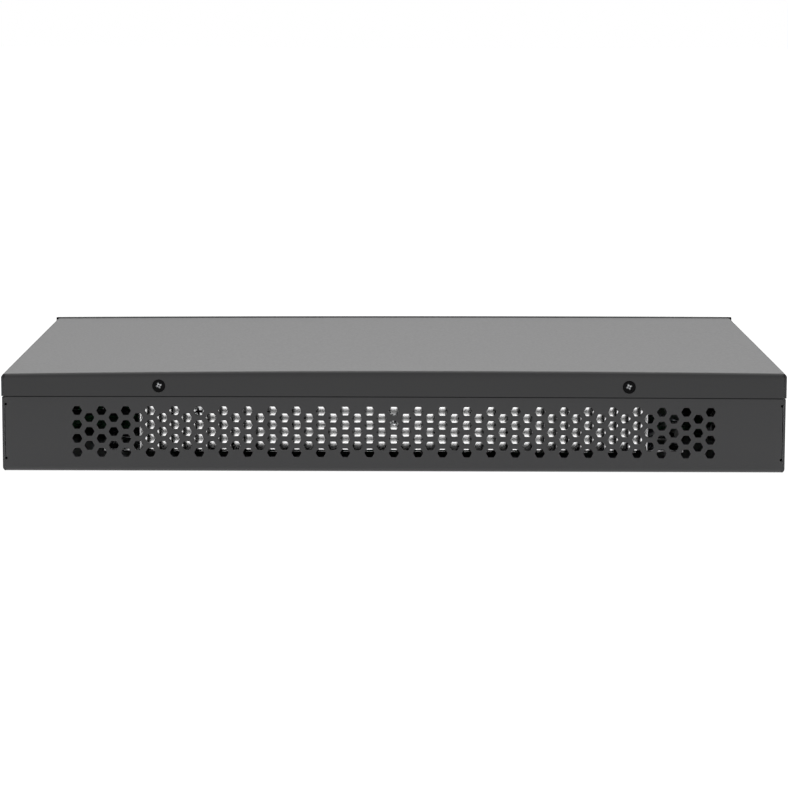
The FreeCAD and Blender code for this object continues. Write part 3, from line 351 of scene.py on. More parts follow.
SKY_AS_LAMP = 0.34
world = bpy.data.worlds.new("studio")
bpy.context.scene.world = world
world.use_nodes = True
sky = world.node_tree
sky.nodes.clear()
strength = add(sky, "ShaderNodeMapRange", {"Value": seen_directly(sky), "To Min": SKY_AS_LAMP,
                                           "To Max": 1.0})
backdrop = add(sky, "ShaderNodeBackground", {"Color": (1, 1, 1, 1), "Strength": strength.outputs[0]})
add(sky, "ShaderNodeOutputWorld", {"Surface": backdrop.outputs[0]})
print("sky as a lamp:", SKY_AS_LAMP)

# %% Floor
# FLOOR_GLOW is what the camera sees on top of the lit paint, so that the two together are just white.
# FLOOR_FAR, FLOOR_NEAR and FLOOR_SHINE are the glow in front, under the switch, and there in reflections.
# HALF_FLOOR and FLOOR_BELOW, half the floor's side and its height, are in metres.
FLOOR_GLOW = 0.88
FLOOR_NEAR = 1.6
FLOOR_FAR = 0.1
FLOOR_SHINE = 1.2
HALF_FLOOR = 9.0
FLOOR_BELOW = -0.0002
floor_paint = bpy.data.materials.new("white floor")
floor_paint.use_nodes = True
ground = floor_paint.node_tree
ground.nodes.clear()
matt = add(ground, "ShaderNodeBsdfDiffuse", {"Color": linear("#c0c0c0"), "Roughness": 0.5})
spot = add(ground, "ShaderNodeSeparateXYZ", {0: add(ground, "ShaderNodeTexCoord").outputs["Object"]})


def floor_profile(start, stop, near_value):
    """Glow along the room: FLOOR_FAR before start, near_value after stop (metres), a smooth step between."""
    return add(ground, "ShaderNodeMapRange", {"Value": spot.outputs["Y"], "From Min": start,
                                              "From Max": stop, "To Min": FLOOR_FAR, "To Max": near_value},
               interpolation_type="SMOOTHSTEP").outputs[0]


path = add(ground, "ShaderNodeLightPath")
for_lamps = add(ground, "ShaderNodeMix", {0: path.outputs["Is Glossy Ray"],
                                          2: floor_profile(-0.4, -0.14, FLOOR_NEAR),
                                          3: floor_profile(-0.75, -0.35, FLOOR_SHINE)})
glow_share = add(ground, "ShaderNodeMix", {0: path.outputs["Is Camera Ray"], 2: for_lamps.outputs[0],
                                           3: FLOOR_GLOW})
glow = add(ground, "ShaderNodeEmission", {"Color": (1, 1, 1, 1), "Strength": glow_share.outputs[0]})
both = add(ground, "ShaderNodeAddShader", {0: matt.outputs[0], 1: glow.outputs[0]})
add(ground, "ShaderNodeOutputMaterial", {"Surface": both.outputs[0]})
floor_mesh = bpy.data.meshes.new("floor")
floor_corners = [(-HALF_FLOOR, -HALF_FLOOR), (HALF_FLOOR, -HALF_FLOOR), (HALF_FLOOR, HALF_FLOOR),
                 (-HALF_FLOOR, HALF_FLOOR)]
floor_mesh.from_pydata([(*corner, FLOOR_BELOW) for corner in floor_corners], [], [(0, 1, 2, 3)])
floor_mesh.materials.append(floor_paint)
floor = in_scene("floor", floor_mesh)
print("floor:", 2 * HALF_FLOOR, "m square")

# %% [markdown]
# Two large soft boxes give the light. The first stands beyond the switch and glances off the lid towards
# the camera, which is what makes a matt black lid look mid-grey from behind. The second hangs high above
# the rear wall, so that the rear lip and the wall aren't left in the lid's shade.


# %% Soft boxes
def lamp(name, place, size, power):
    """Square soft lamp at place, of that size, both in mm, turned towards the switch; power in watts."""
    light = bpy.data.lights.new(name, "AREA")
    light.shape = "SQUARE"
    light.size = size * MM
    light.energy = power
    made = in_scene(name, light)
    made.location = Vector(place) * MM
    made.rotation_euler = (Vector() - made.location).to_track_quat("-Z", "Y").to_euler()


lamp("overhead softbox", (0, 1000, 1150), 1200, 9.5)
lamp("second softbox", (0, -350, 1500), 900, 5)
print("studio ready:", len(bpy.data.lights), "lamps")

# %% [markdown]
# ## Finishes
#
# The case is cold-rolled steel with a matt powder coat: paint dust melted into a skin, which leaves a fine
# orange-peel of bumps about half a millimetre across and no sheen of its own, so at a glancing angle it
# only greys towards the white room. Plastics are moulded against a spark-eroded tool, which leaves a finer
# grain. Bare metals are brushed or rolled, and show that as streaks in their roughness.
#
# A painted texture would need a file and an unwrapped mesh. Noise on Object coordinates needs neither, and
# its lumps have a real size. All finishes are one recipe with different numbers. A coarse noise of
# tone_size millimetres mottles the colour by the share tone and the roughness by spread. A fine noise of
# grain millimetres lifts the surface by relief millimetres. stretch draws both out along an axis, as
# brushing does.


# %% One recipe for painted, moulded and metal surfaces
def surface(name, colour, roughness, metallic=0.0, grain=0.4, relief=0.01, tone=0.06, tone_size=1.5,
            stretch=(1, 1, 1), spread=0.06, **extra):
    """Principled surface with mottled tone and roughness and a fine relief; extra sets its own sockets."""
    made = bpy.data.materials.new(name)
    made.use_nodes = True
    tree = made.node_tree
    tree.nodes.clear()
    place = add(tree, "ShaderNodeTexCoord").outputs["Object"]
    shaped = add(tree, "ShaderNodeMapping", {"Vector": place, "Scale": stretch}).outputs[0]
    mottle = add(tree, "ShaderNodeTexNoise", {"Vector": shaped, "Scale": per_mm(tone_size), "Detail": 3.0})
    fine = add(tree, "ShaderNodeTexNoise", {"Vector": shaped, "Scale": per_mm(grain), "Detail": 2.0})
    base = np.array(linear(colour)[:3])
    dark = (*(base * (1 - tone)).tolist(), 1.0)
    light = (*(base * (1 + tone)).tolist(), 1.0)
    tint = add(tree, "ShaderNodeMix", {0: mottle.outputs[0], 6: dark, 7: light}, data_type="RGBA")
    rough = add(tree, "ShaderNodeMapRange", {"Value": mottle.outputs[0], "From Min": 0.3, "From Max": 0.7,
                                             "To Min": max(roughness - spread, 0.02),
                                             "To Max": roughness + spread})
    bump = add(tree, "ShaderNodeBump", {"Height": fine.outputs[0], "Strength": 1.0, "Distance": relief * MM})
    shader = add(tree, "ShaderNodeBsdfPrincipled", {"Base Color": tint.outputs[2], "Metallic": metallic,
                                                    "Roughness": rough.outputs[0],
                                                    "Normal": bump.outputs[0], **extra})
    add(tree, "ShaderNodeOutputMaterial", {"Surface": shader.outputs[0]})
    return made


def principled(material):
    """The shader node at the heart of a finish."""
    return next(node for node in material.node_tree.nodes if node.type == "BSDF_PRINCIPLED")


# %% Paints
# Powder coat, baked: soft dark grey with a very fine orange-peel. The lid's coat is a darker grey.
PAINT = dict(grain=0.5, relief=0.006, tone=0.04, tone_size=1.2, spread=0.02)
lid_coat = surface("matt powder coat of the lid", "#1a1a1b", 0.43, **PAINT, **{"Specular IOR Level": 0.42})
powder_coat = surface("matt powder coat", "#29292a", 0.43, **PAINT, **{"Specular IOR Level": 0.36})

# Solder resist over a glass-fibre board: a glossy green varnish. The tracks under it come further down.
resist = surface("green solder resist", "#12502c", 0.3, grain=0.25, relief=0.01, tone=0.1, tone_size=1.1)

# %% Metals
# Zinc with a black chromate film: nearly black, because the film swallows most reflections.
black_zinc = surface("black zinc plate", "#0a0a0b", 0.34, grain=0.3, relief=0.004, tone=0.2, tone_size=0.6,
                     **{"Specular IOR Level": 0.04})
# Clear-passivated zinc on turned and stamped parts: a clean, slightly blue mirror with soft glints.
bright_zinc = surface("bright zinc plate", "#dadbdc", 0.2, metallic=1.0, grain=0.3, relief=0.003, tone=0.05)
# Hot-dip zinc on the unpainted inside of the sheets: light grey, dull, only part of it mirrors.
bare_zinc = surface("bare zinc-coated steel inside", "#aaacae", 0.5, metallic=0.35, grain=0.35, relief=0.004,
                    tone=0.06)
# Tinned brass, stamped and folded: a warm grey mirror, smooth enough to repeat the room's light and dark.
tin_plate = surface("tin-plated brass sheet", "#b5b3ad", 0.28, metallic=1.0, grain=0.25, relief=0.0008,
                    tone=0.05)
# Brushed sheet: very fine scratches along X smear every reflection up and down. The scratches are too fine
# to show one by one, so anisotropy does their work and the noise only adds a faint streak.
brushed_aluminium = surface("brushed aluminium sheet", "#fbfbfb", 0.125, metallic=1.0, grain=0.05,
                            relief=0.0001, tone=0.03, tone_size=0.4, stretch=(0.02, 1, 1), spread=0.005,
                            **{"Anisotropic": 0.9})
# Extruded fins: drawn through a die along Y, which leaves long dull lines.
extruded_aluminium = surface("extruded aluminium", "#a9abad", 0.38, metallic=1.0, grain=0.12, relief=0.004,
                             tone=0.05, tone_size=0.5, stretch=(1, 0.03, 1))
# Gold flash on spring wires: a small, warm, even glint.
gold_plate = surface("gold-plated contact", "#d9a94a", 0.22, metallic=1.0, grain=0.1, relief=0.001,
                     tone=0.03)

# %% Plastics, ceramics and varnish
# Glass-filled nylon, moulded: black with a dull grain that hides its gloss.
black_nylon = surface("black moulded nylon", "#141415", 0.46, grain=0.12, relief=0.004, tone=0.08,
                      tone_size=0.8)
# Nylon without pigment: warm white, and light goes a little way into it.
white_nylon = surface("natural moulded nylon", "#cfcabd", 0.42, grain=0.15, relief=0.003, tone=0.03,
                      **{"Subsurface Weight": 0.05, "Subsurface Scale": 0.0008})
# ABS, moulded: the button's plain mid grey.
grey_plastic = surface("grey moulded plastic", "#5c5d60", 0.45, grain=0.1, relief=0.004, tone=0.04)
# Acrylic, moulded and polished: clear, with bright edges where it bends the light.
clear_plastic = surface("clear moulded acrylic", "#dfe4e6", 0.12, grain=0.5, relief=0.001, tone=0.01,
                        spread=0.02, **{"Transmission Weight": 0.75, "IOR": 1.49})
# Epoxy pressed round a chip: flat charcoal, duller than the nylon.
epoxy = surface("black moulded epoxy", "#1b1b1d", 0.55, grain=0.08, relief=0.003, tone=0.06, tone_size=0.5)
# Vinyl shrunk over a can: dark and glossy, with slow waves.
sleeve = surface("shrunk vinyl sleeve", "#15151c", 0.25, grain=0.8, relief=0.006, tone=0.05)
# Pressed and fired barium titanate: matt tan with specks.
ceramic = surface("tan ceramic", "#7d6446", 0.4, grain=0.2, relief=0.002, tone=0.15, tone_size=0.8)
# Fired ferrite wrapped in tape: dark, uneven brown-grey.
ferrite = surface("sintered ferrite and tape", "#2d2b2c", 0.5, grain=0.3, relief=0.008, tone=0.1)
# Soft vinyl drawn over wire: black with a light sheen.
insulation = surface("soft vinyl insulation", "#1a1a1b", 0.35, grain=0.5, relief=0.004, tone=0.05)
print(len(bpy.data.materials) - 1, "finishes")

# %% [markdown]
# Three finishes need something more. The brush marks need a direction: the tangent of the brushed sheet
# points up, at right angles to the scratches. Where a driver or a scoring die has touched a piece, its
# points are marked with 1, and there the finish changes to bare metal. In a bright screw's recess the
# marked colour is instead a painted shade: nearly black metal for the shadow in the recess. And under the
# solder resist run copper tracks, which show as thin lighter lines.

# %% Brush direction, rubbed places, painted shade in recesses, and tracks
brushed = brushed_aluminium.node_tree
upright = add(brushed, "ShaderNodeCombineXYZ", {"Z": 1.0})
brushed.links.new(upright.outputs[0], principled(brushed_aluminium).inputs["Tangent"])


def worn_where_marked(material, colour):
    """Metal of that colour where points are marked 1: bare or tinned metal, or painted shade in a recess."""
    tree = material.node_tree
    shader = principled(material)
    mark = add(tree, "ShaderNodeAttribute", attribute_name="mark").outputs["Fac"]
    # For bright zinc the marked colour is nearly black: a painted shade for the shadow in its recess.
    bare = add(tree, "ShaderNodeBsdfPrincipled", {"Base Color": linear(colour), "Metallic": 1.0,
                                                  "Roughness": 0.22})
    mixed = add(tree, "ShaderNodeMixShader", {0: mark, 1: shader.outputs[0], 2: bare.outputs[0]})
    output = next(node for node in tree.nodes if node.type == "OUTPUT_MATERIAL")
    tree.links.new(mixed.outputs[0], output.inputs["Surface"])


def tracks_under(material, colour, pitch):
    """Tracks under a varnish: bricks pitch high, whose joints are the gaps, mixed over the base colour.

    The board's surface is cut in square-sided patches 14 mm wide. By a random number of each patch, its
    tracks run along X or along Y."""
    tree = material.node_tree
    shader = principled(material)
    place = add(tree, "ShaderNodeTexCoord").outputs["Object"]
    turned_place = add(tree, "ShaderNodeMapping", {"Vector": place, "Rotation": (0, 0, math.pi / 2)})
    long_x, long_y = [
        add(tree, "ShaderNodeTexBrick", {"Vector": way, "Scale": 1.0, "Color1": (1, 1, 1, 1),
                                         "Color2": (0.7, 0.7, 0.7, 1), "Mortar": (0, 0, 0, 1),
                                         "Mortar Size": 0.3 * pitch * MM, "Brick Width": length * pitch * MM,
                                         "Row Height": pitch * MM}).outputs[0]
        for way, length in ((place, 19), (turned_place.outputs[0], 13))]
    areas = add(tree, "ShaderNodeTexVoronoi", {"Vector": place, "Scale": per_mm(14)}, distance="MANHATTAN")
    which = add(tree, "ShaderNodeMath", {0: areas.outputs["Color"], 1: 0.5}, operation="GREATER_THAN")
    tracks = add(tree, "ShaderNodeMix", {0: which.outputs[0], 6: long_x, 7: long_y}, data_type="RGBA")
    varnish = shader.inputs["Base Color"].links[0].from_socket
    share = add(tree, "ShaderNodeMath", {0: tracks.outputs[2], 1: 0.55}, operation="MULTIPLY")
    mixed = add(tree, "ShaderNodeMix", {0: share.outputs[0], 6: varnish, 7: linear(colour)},
                data_type="RGBA")
    tree.links.new(mixed.outputs[2], shader.inputs["Base Color"])


# Real tracks are a fifth of a millimetre apart; these are 1.1 mm, so that they show at all.
tracks_under(resist, "#3c8a52", 1.1)
# Steel rubbed bright under black zinc, painted shade in bright screws' recesses, bare can tops, tin ends.
for material, colour in ((black_zinc, "#a2a3a5"), (bright_zinc, "#101011"), (sleeve, "#c9cacb"),
                         (ceramic, "#cfcfca")):
    worn_where_marked(material, colour)
print("marked finishes read each point's mark")

# %% Finishes for the nodes that keep their CAD shape
FINISHES = {
    powder_coat: ["base_tray", "port_panel", "rear_vent_wall"],
    lid_coat: ["top_cover"],
    black_zinc: ["rear_cover_screws", "side_cover_screws", "power_foot_screws", "mains_inlet_screws"],
    bright_zinc: ["power_base_plate", "power_standoffs", "board_standoffs", "fan_bracket",
                  "power_plate_screws", "board_screws", "fan_screws"],
    brushed_aluminium: ["power_supply_case"],
    resist: ["main_board", "power_board"],
    epoxy: ["memory_chips", "switch_chip", "physical_layer_chip_1", "physical_layer_chip_2"],
    extruded_aluminium: ["switch_heatsink", "physical_layer_heatsink_1", "physical_layer_heatsink_2",
                         "power_heatsinks"],
    tin_plate: ["port_block_1", "port_block_2", "module_cage_1", "module_cage_2", "mains_inlet_blades"],
    black_nylon: ["console_jack", "mains_inlet", "mode_contact_switch", "light_pipe_holder",
                  "fan_frame_1", "fan_frame_2", "fan_rotor_1", "fan_rotor_2"],
    white_nylon: ["power_header", "power_board_pads"],
    grey_plastic: ["mode_button"],
    clear_plastic: ["status_light_pipes"],
    sleeve: ["bulk_capacitors", "board_capacitors"],
    ferrite: ["power_transformer", "mains_choke"],
    insulation: ["mains_leads", "dc_leads"],
}
for finish, names in FINISHES.items():
    for name in names:
        for material_slot in nodes[name].material_slots:
            material_slot.material = finish
        if not nodes[name].material_slots:
            nodes[name].data.materials.append(finish)
print("finished nodes:", sum(len(names) for names in FINISHES.values()), "of", len(nodes))

# %% [markdown]
# ## The lid
#
# The lid is one sheet of 1 mm steel with a lip folded down on three sides. The press can't fold two lips
# that meet, so a slot is cut into each rear corner first, and the rear lip then closes up against the
# side lips. A wide, thin top always bows a little: this one stands about a millimetre proud in the middle at
# the rear, less at the front, and its right side sits a shade higher than its left.
#
# A bevelled box would give its outline, but no slots, no inside and no bow. So it is made as one grid of
# points: the lines along it run up the left lip, round the bend, across the top and down the right lip, the
# lines across it run from the front edge to the rear and down the rear lip.

# %% Shape of the lid
# LID_SIDES and LID_CROWN are side height and crown at the rear and at the front. LID_RACK lifts the right
# side and lowers the left. LIP_LIFT is how far the lips' lower edge is lifted evenly, in the middle, and to
# one side. A corner slot is open from RELIEF_TURN to LIP_END_TURN, in degrees of the side's bend.
lid_low, lid_high = box("top_cover")
LID_SHEET = 1.0
LID_BEND = 1.7
RELIEF_TURN = 8
LIP_END_TURN = 21.4
LID_HALF = lid_high[0] - 0.2
LID_REAR = lid_low[1] + 0.01
LID_FRONT = lid_high[1]
LIP_BOTTOM = lid_low[2]
LIP_LIFT = (0.22, 0.27, -0.06)
LID_SIDES = (43.1, 43.44)
LID_CROWN = (1.24, 0.42)
LID_RACK = 0.5
SCREW_CELL = 3.3
rear_screws = middles("rear_cover_screws")
side_screws = middles("side_cover_screws")
LIP_SCREW_Z = rear_screws[0][2]
LIP_SCREW_RADIUS = 2.75
LIP_SCREW_ROOM = 0.12


def lid_height(x, y):
    """Height of the lid's skin: side height + crown (1 - (x / half)^2) + rack x / half.

    Side height and crown go from their rear to their front values with the square root of the way along."""
    way = np.sqrt(np.clip((y - LID_REAR) / (LID_FRONT - LID_REAR), 0, 1))
    crown = LID_CROWN[0] + (LID_CROWN[1] - LID_CROWN[0]) * way
    side = LID_SIDES[0] + (LID_SIDES[1] - LID_SIDES[0]) * way
    return side + crown * (1 - (x / LID_HALF) ** 2) + LID_RACK * x / LID_HALF


def lip_edge(x):
    """Height of the lips' lower edge: it bows up a little with the lid, even + bow (1 - t^2) + tilt t."""
    t = x / LID_HALF
    return LIP_BOTTOM + LIP_LIFT[0] + LIP_LIFT[1] * (1 - t ** 2) + LIP_LIFT[2] * t


print("lid's height in the middle, rear and front:", round(float(lid_height(0, LID_REAR)), 2),
      round(float(lid_height(0, LID_FRONT)), 2))


# %% Lines of the lid's grid
def lid_lines():
    """Lines across, then lines along: of each its place, its turn and its fixed height.

    The turn is how far the sheet has turned there, from 0 on top to 90 degrees on a lip. The fixed height
    holds on a lip, and is no number elsewhere."""
    bend = np.radians([0, RELIEF_TURN, LIP_END_TURN, 38, 55, 72, 90])
    bent = len(bend) - 1
    lip = lines((LIP_BOTTOM, LIP_SCREW_Z - SCREW_CELL, 2), hole_lines(LIP_SCREW_Z, SCREW_CELL))
    inner = LID_HALF - LID_BEND
    left, right = rear_screws[0][0], rear_screws[1][0]
    flat = lines((-inner, left - SCREW_CELL, 8), hole_lines(left, SCREW_CELL),
                 (left + SCREW_CELL, right - SCREW_CELL, 24), hole_lines(right, SCREW_CELL),
                 (right + SCREW_CELL, inner, 8))
    x = np.concatenate([lip * 0 - LID_HALF, -inner - LID_BEND * np.sin(bend[::-1][:-1]), flat,
                        inner + LID_BEND * np.sin(bend[1:]), lip * 0 + LID_HALF])
    turn_x = np.concatenate([lip * 0 + 90, np.degrees(bend[::-1][:-1]), flat * 0, np.degrees(bend[1:]),
                             lip * 0 + 90])
    fixed_x = np.concatenate([lip, np.full(bent + len(flat) + bent, np.nan), lip[::-1]])
    first = min(place[1] for place in side_screws)
    last = max(place[1] for place in side_screws)
    back = LID_REAR + LID_BEND
    deep = lines((LID_FRONT, last + SCREW_CELL, 6), hole_lines(last, SCREW_CELL),
                 (first + SCREW_CELL, last - SCREW_CELL, 16), hole_lines(first, SCREW_CELL),
                 (back, first - SCREW_CELL, 6))[::-1]
    y = np.concatenate([deep, back - LID_BEND * np.sin(bend[1:]), lip * 0 + LID_REAR])
    turn_y = np.concatenate([deep * 0, np.degrees(bend[1:]), lip * 0 + 90])
    fixed_y = np.concatenate([np.full(len(deep) + bent, np.nan), lip[::-1]])
    return (x, turn_x, fixed_x), (y, turn_y, fixed_y)


def lid_skin():
    """Grid over the whole lid, with the faces that lie in it.

    A point's height is the lid's height less the bend's drop, radius (1 - cos of the larger turn). On a lip
    it is the line's fixed height, and at the lip's foot the height of the lip's edge. Left out are the rear
    lip where it would run into the side lips, the corner slots, and a square cell round each screw."""
    (x, turn_x, fixed_x), (y, turn_y, fixed_y) = lid_lines()
    drop = LID_BEND * (1 - np.cos(np.radians(np.maximum(turn_x[None, :], turn_y[:, None]))))
    z = lid_height(x[None, :], y[:, None]) - drop
    z = np.where(np.isnan(fixed_x)[None, :], z, fixed_x[None, :])
    z = np.where(np.isnan(fixed_y)[:, None], z, fixed_y[:, None])
    z = np.where(z <= LIP_BOTTOM, lip_edge(x)[None, :], z)
    points = grid(x, y[:, None], z)
    lip_x, lip_y = np.isfinite(fixed_x), np.isfinite(fixed_y)
    mid_turn_x = (turn_x[1:] + turn_x[:-1]) / 2
    mid_turn_y = (turn_y[1:] + turn_y[:-1]) / 2
    side_part = (lip_x[1:] | lip_x[:-1] | (mid_turn_x > LIP_END_TURN))[None, :]
    rear_part = (lip_y[1:] | lip_y[:-1])[:, None]
    slot_x = ((mid_turn_x > RELIEF_TURN) & (mid_turn_x < LIP_END_TURN))[None, :]
    slot_y = ((mid_turn_y > 45) & (mid_turn_y < 90))[:, None]
    keep = ~(side_part & rear_part) & ~(slot_x & slot_y)
    on_side = (lip_x[1:] & lip_x[:-1])[None, :]
    on_rear = (lip_y[1:] & lip_y[:-1])[:, None]
    mid_x, mid_y, mid_z = face_middles(points)
    level = near(mid_z, LIP_SCREW_Z, SCREW_CELL)
    for place in side_screws:
        keep &= ~(on_side & level & near(mid_y, place[1], SCREW_CELL) & (mid_x * place[0] > 0))
    for place in rear_screws:
        keep &= ~(on_rear & level & near(mid_x, place[0], SCREW_CELL))
    return patch(points, keep=keep, flip=True)


# %% The lid and the rings round its screws
def lip_side(place):
    """0 for a screw in the rear lip, -1 or 1 for one in the left or right lip."""
    return 0 if abs(place[0]) < LID_HALF - 10 else math.copysign(1, place[0])


def lip_ring(place):
    """Ring of lip round one screw."""
    side = lip_side(place)
    return hole_ring((place[1] if side else place[0], LIP_SCREW_Z), SCREW_CELL,
                     LIP_SCREW_RADIUS + LIP_SCREW_ROOM, side * LID_HALF if side else LID_REAR,
                     along_x=not side, flip=side >= 0)


lid = piece("lid", [lid_skin()] + [lip_ring(place) for place in rear_screws + side_screws], lid_coat,
            instead_of=["top_cover"], slot="powder_coated_steel")
thicken(lid, LID_SHEET, edge=0.3, sides=3, angle=50, inside=bare_zinc)
print("lid:", len(lid.data.polygons), "faces before its thickness")

# %% [markdown]
# ## The vented wall
#
# The rear wall is punched with 186 hexagons in a honeycomb, flats up and down: 27 columns of four and,
# between them, 26 of three, half a pitch lower. The punch has rounded corners, and the powder coat rounds
# the rims, which is why every hole has a thin light halo. A Boolean modifier could cut the hexagons out of
# a plate, slowly and with thin triangles all over it. Here the honeycomb is made cell by cell: one hexagonal
# cell is a ring of eighteen faces between its hole and its outline, and the outlines meet exactly. What is
# left round the honeycomb is filled with strips from its zigzag edge to the wall's bends and ends.

# %% Honeycomb
# HEX_FLATS is a hole's width over its flats. COLUMN_STEP is from column to column, CELL_CORNER from a cell's
# middle to its corner. WALL_STEP is how far the wall steps in behind the lid's lip.
wall_low, wall_high = box("rear_vent_wall")
WALL_SHEET = 1.2
WALL_BEND = 1.7
WALL_STEP = 0.7
HEX_PITCH = 6.11
HEX_FLATS = 3.9
HEX_COLUMNS = 53
HEX_CENTRE_Z = 17.4
PUNCH_RADIUS = 0.3
COLUMN_STEP = HEX_PITCH * math.cos(math.pi / 6)
CELL_CORNER = HEX_PITCH / math.sqrt(3)
WALL_Y = wall_low[1]
WALL_END = wall_high[0] + 0.2
WALL_TOP = wall_high[2] - 0.2
column = np.arange(HEX_COLUMNS)
column_x = (column - (HEX_COLUMNS - 1) / 2) * COLUMN_STEP


def hexagon_centres():
    """Columns at whole steps from the middle; even ones hold four cells, odd ones three."""
    even = [(x, HEX_CENTRE_Z + k * HEX_PITCH) for x in column_x[::2] for k in (-1.5, -0.5, 0.5, 1.5)]
    odd = [(x, HEX_CENTRE_Z + k * HEX_PITCH) for x in column_x[1::2] for k in (-1, 0, 1)]
    return np.array(even + odd)


def hexagon_cells(centres):
    """Ring of 18 faces per cell. Outline: each side cut in three. Hole: each corner cut off by an arc."""
    corner = np.radians(np.arange(6) * 60)
    tips = CELL_CORNER * np.stack([np.cos(corner), np.sin(corner)], 1)
    after = tips * 2 / 3 + np.roll(tips, -1, 0) / 3
    before = tips * 2 / 3 + np.roll(tips, 1, 0) / 3
    outline = np.stack([before, tips, after], 1).reshape(-1, 2)
    hole_corner = HEX_FLATS / math.sqrt(3)
    arc_middle = hole_corner - PUNCH_RADIUS / math.cos(math.pi / 6)
    angle = (corner[:, None] + np.radians([-30, 0, 30])).reshape(-1)
    base = np.repeat(corner, 3)
    hole = arc_middle * np.stack([np.cos(base), np.sin(base)], 1)
    hole = hole + PUNCH_RADIUS * np.stack([np.cos(angle), np.sin(angle)], 1)
    flat = centres[:, None, None, :] + np.stack([outline, hole])[None]
    parts = [patch(cell, wrap=True) for cell in standing(flat, WALL_Y)]
    starts = np.arange(len(parts)) * 2 * len(outline)
    return (np.concatenate([part[0] for part in parts]),
            np.concatenate([part[1] + start for part, start in zip(parts, starts)]))


print("columns:", HEX_COLUMNS, "hexagons:", len(hexagon_centres()))


# %% Edges of the honeycomb
def in_thirds(tips):
    """The same zigzag with each of its sides cut in three, as the cells' outlines are."""
    parts = [tips[:-1] + (tips[1:] - tips[:-1]) * share for share in (0, 1 / 3, 2 / 3)]
    return np.concatenate([np.stack(parts, 1).reshape(-1, 2), tips[-1:]])


def zigzag(side):
    """Upper (side 1) or lower (side -1) edge of the honeycomb, from left to right."""
    z = HEX_CENTRE_Z + side * np.where(column % 2 == 0, 2.0, 1.5) * HEX_PITCH
    ends = np.stack([column_x - CELL_CORNER / 2, column_x + CELL_CORNER / 2], 1).reshape(-1)
    return in_thirds(np.stack([ends, np.repeat(z, 2)], 1))


def end_zigzag(side):
    """Right (side 1) or left edge of the honeycomb, from its upper to its lower end."""
    x = side * (HEX_COLUMNS - 1) / 2 * COLUMN_STEP
    level = np.arange(9)
    out = np.where(level % 2 == 0, CELL_CORNER / 2, CELL_CORNER)
    return in_thirds(np.stack([x + side * out, HEX_CENTRE_Z + 2 * HEX_PITCH - level * HEX_PITCH / 2], 1))


print("points along the upper edge:", len(zigzag(1)))

# %% [markdown]
# Above the honeycomb the wall steps in behind the lid's lip. Below it bends under the tray. Each end stops
# at an open joint with the tray's side: a narrow slit that ends in a round notch at the top and at the foot.

# %% Strips above, below and at the ends
# A flat row of faces from FLAT_FROM up to the honeycomb keeps the bend's shading out of the wall's face.
# SEAM_HALF is half the slit's width, SEAM_ENDS its two notches' heights. Above SHOULDER the wall is shorter,
# to pass between the tray's sides. WALL_FOOT is how far the wall reaches in under the tray.
PAINT_GAP = 0.42
STEP_TOP = 36.9
SEAM_HALF = 0.35
SEAM_ENDS = (5.65, 29.3)
NOTCH = 0.6
NOTCH_POINTS = 10
SHOULDER = 0.9
FLAT_FROM = 2.0
WALL_FOOT = 7.0
FOOT_LINE = 2.1


def step_start(x):
    """The wall steps in just below the lid's lip, a paint gap lower than the lip's edge."""
    return lip_edge(x) - PAINT_GAP


def fringe(edge, level):
    """Row of faces from the honeycomb's zigzag edge to a smooth line at that height."""
    return patch(np.stack([standing(edge, WALL_Y), standing(grid(edge[:, 0], level), WALL_Y)]))


def upper_strip():
    """From the upper zigzag to the step, behind the lip, and up to the wall's top."""
    edge = zigzag(1)
    x = np.concatenate([[-WALL_END + SHOULDER], edge[:, 0], [WALL_END - SHOULDER]])
    start = step_start(x)
    z = np.stack([start, start + WALL_STEP, start * 0 + STEP_TOP, start * 0 + WALL_TOP])
    y = WALL_Y + np.array([0, WALL_STEP, WALL_STEP, WALL_STEP])
    return [fringe(edge, step_start(edge[:, 0])), patch(grid(x, y[:, None], z))]


def lower_strip():
    """From the lower zigzag down to the bend, round it, and in along the underside."""
    edge = zigzag(-1)
    x = np.concatenate([[-WALL_END], edge[:, 0], [WALL_END]])
    turn = np.radians(np.linspace(0, 90, 7))
    z = np.concatenate([[FLAT_FROM], WALL_BEND * (1 - np.sin(turn)), [0.0, 0.0]])
    y = WALL_Y + np.concatenate([[0], WALL_BEND * (1 - np.cos(turn)), [FOOT_LINE, WALL_FOOT]])
    return [fringe(edge, FLAT_FROM), patch(grid(x, y[:, None], z[:, None]))]


def end_panel(side):
    """Outline of the plain end: the honeycomb's edge, and outside it the open joint with its two notches.

    A notch is an arc of radius NOTCH that stops where it meets the slit, SEAM_HALF from the wall's end."""
    inner = end_zigzag(side)
    end = side * WALL_END
    reach = math.degrees(math.acos((NOTCH - SEAM_HALF) / NOTCH))
    angle = np.radians(np.linspace(0, 180 + (180 - reach), NOTCH_POINTS))
    arc = np.stack([end - side * NOTCH + side * NOTCH * np.cos(angle), NOTCH * np.sin(angle)], 1)
    upper = arc + [0, SEAM_ENDS[1]]
    lower = (arc * [1, -1] + [0, SEAM_ENDS[0]])[::-1]
    upper[-1, 0] = lower[0, 0] = end - side * SEAM_HALF
    shoulder = end - side * SHOULDER
    head = np.array([[x, step_start(x)] for x in (inner[0, 0], shoulder, end)])
    foot = np.array([[end, FLAT_FROM], [inner[-1, 0], FLAT_FROM]])
    return standing(np.concatenate([head, upper, lower, foot, inner[::-1]]), WALL_Y)


vented_wall = piece("vented_wall", [hexagon_cells(hexagon_centres())] + upper_strip() + lower_strip(),
                    powder_coat, polygons=[end_panel(-1), end_panel(1)], weld=0.005,
                    instead_of=["rear_vent_wall"], slot="powder_coated_steel")
thicken(vented_wall, WALL_SHEET, edge=0.22, angle=50)
print("vented wall:", len(vented_wall.data.polygons), "faces")
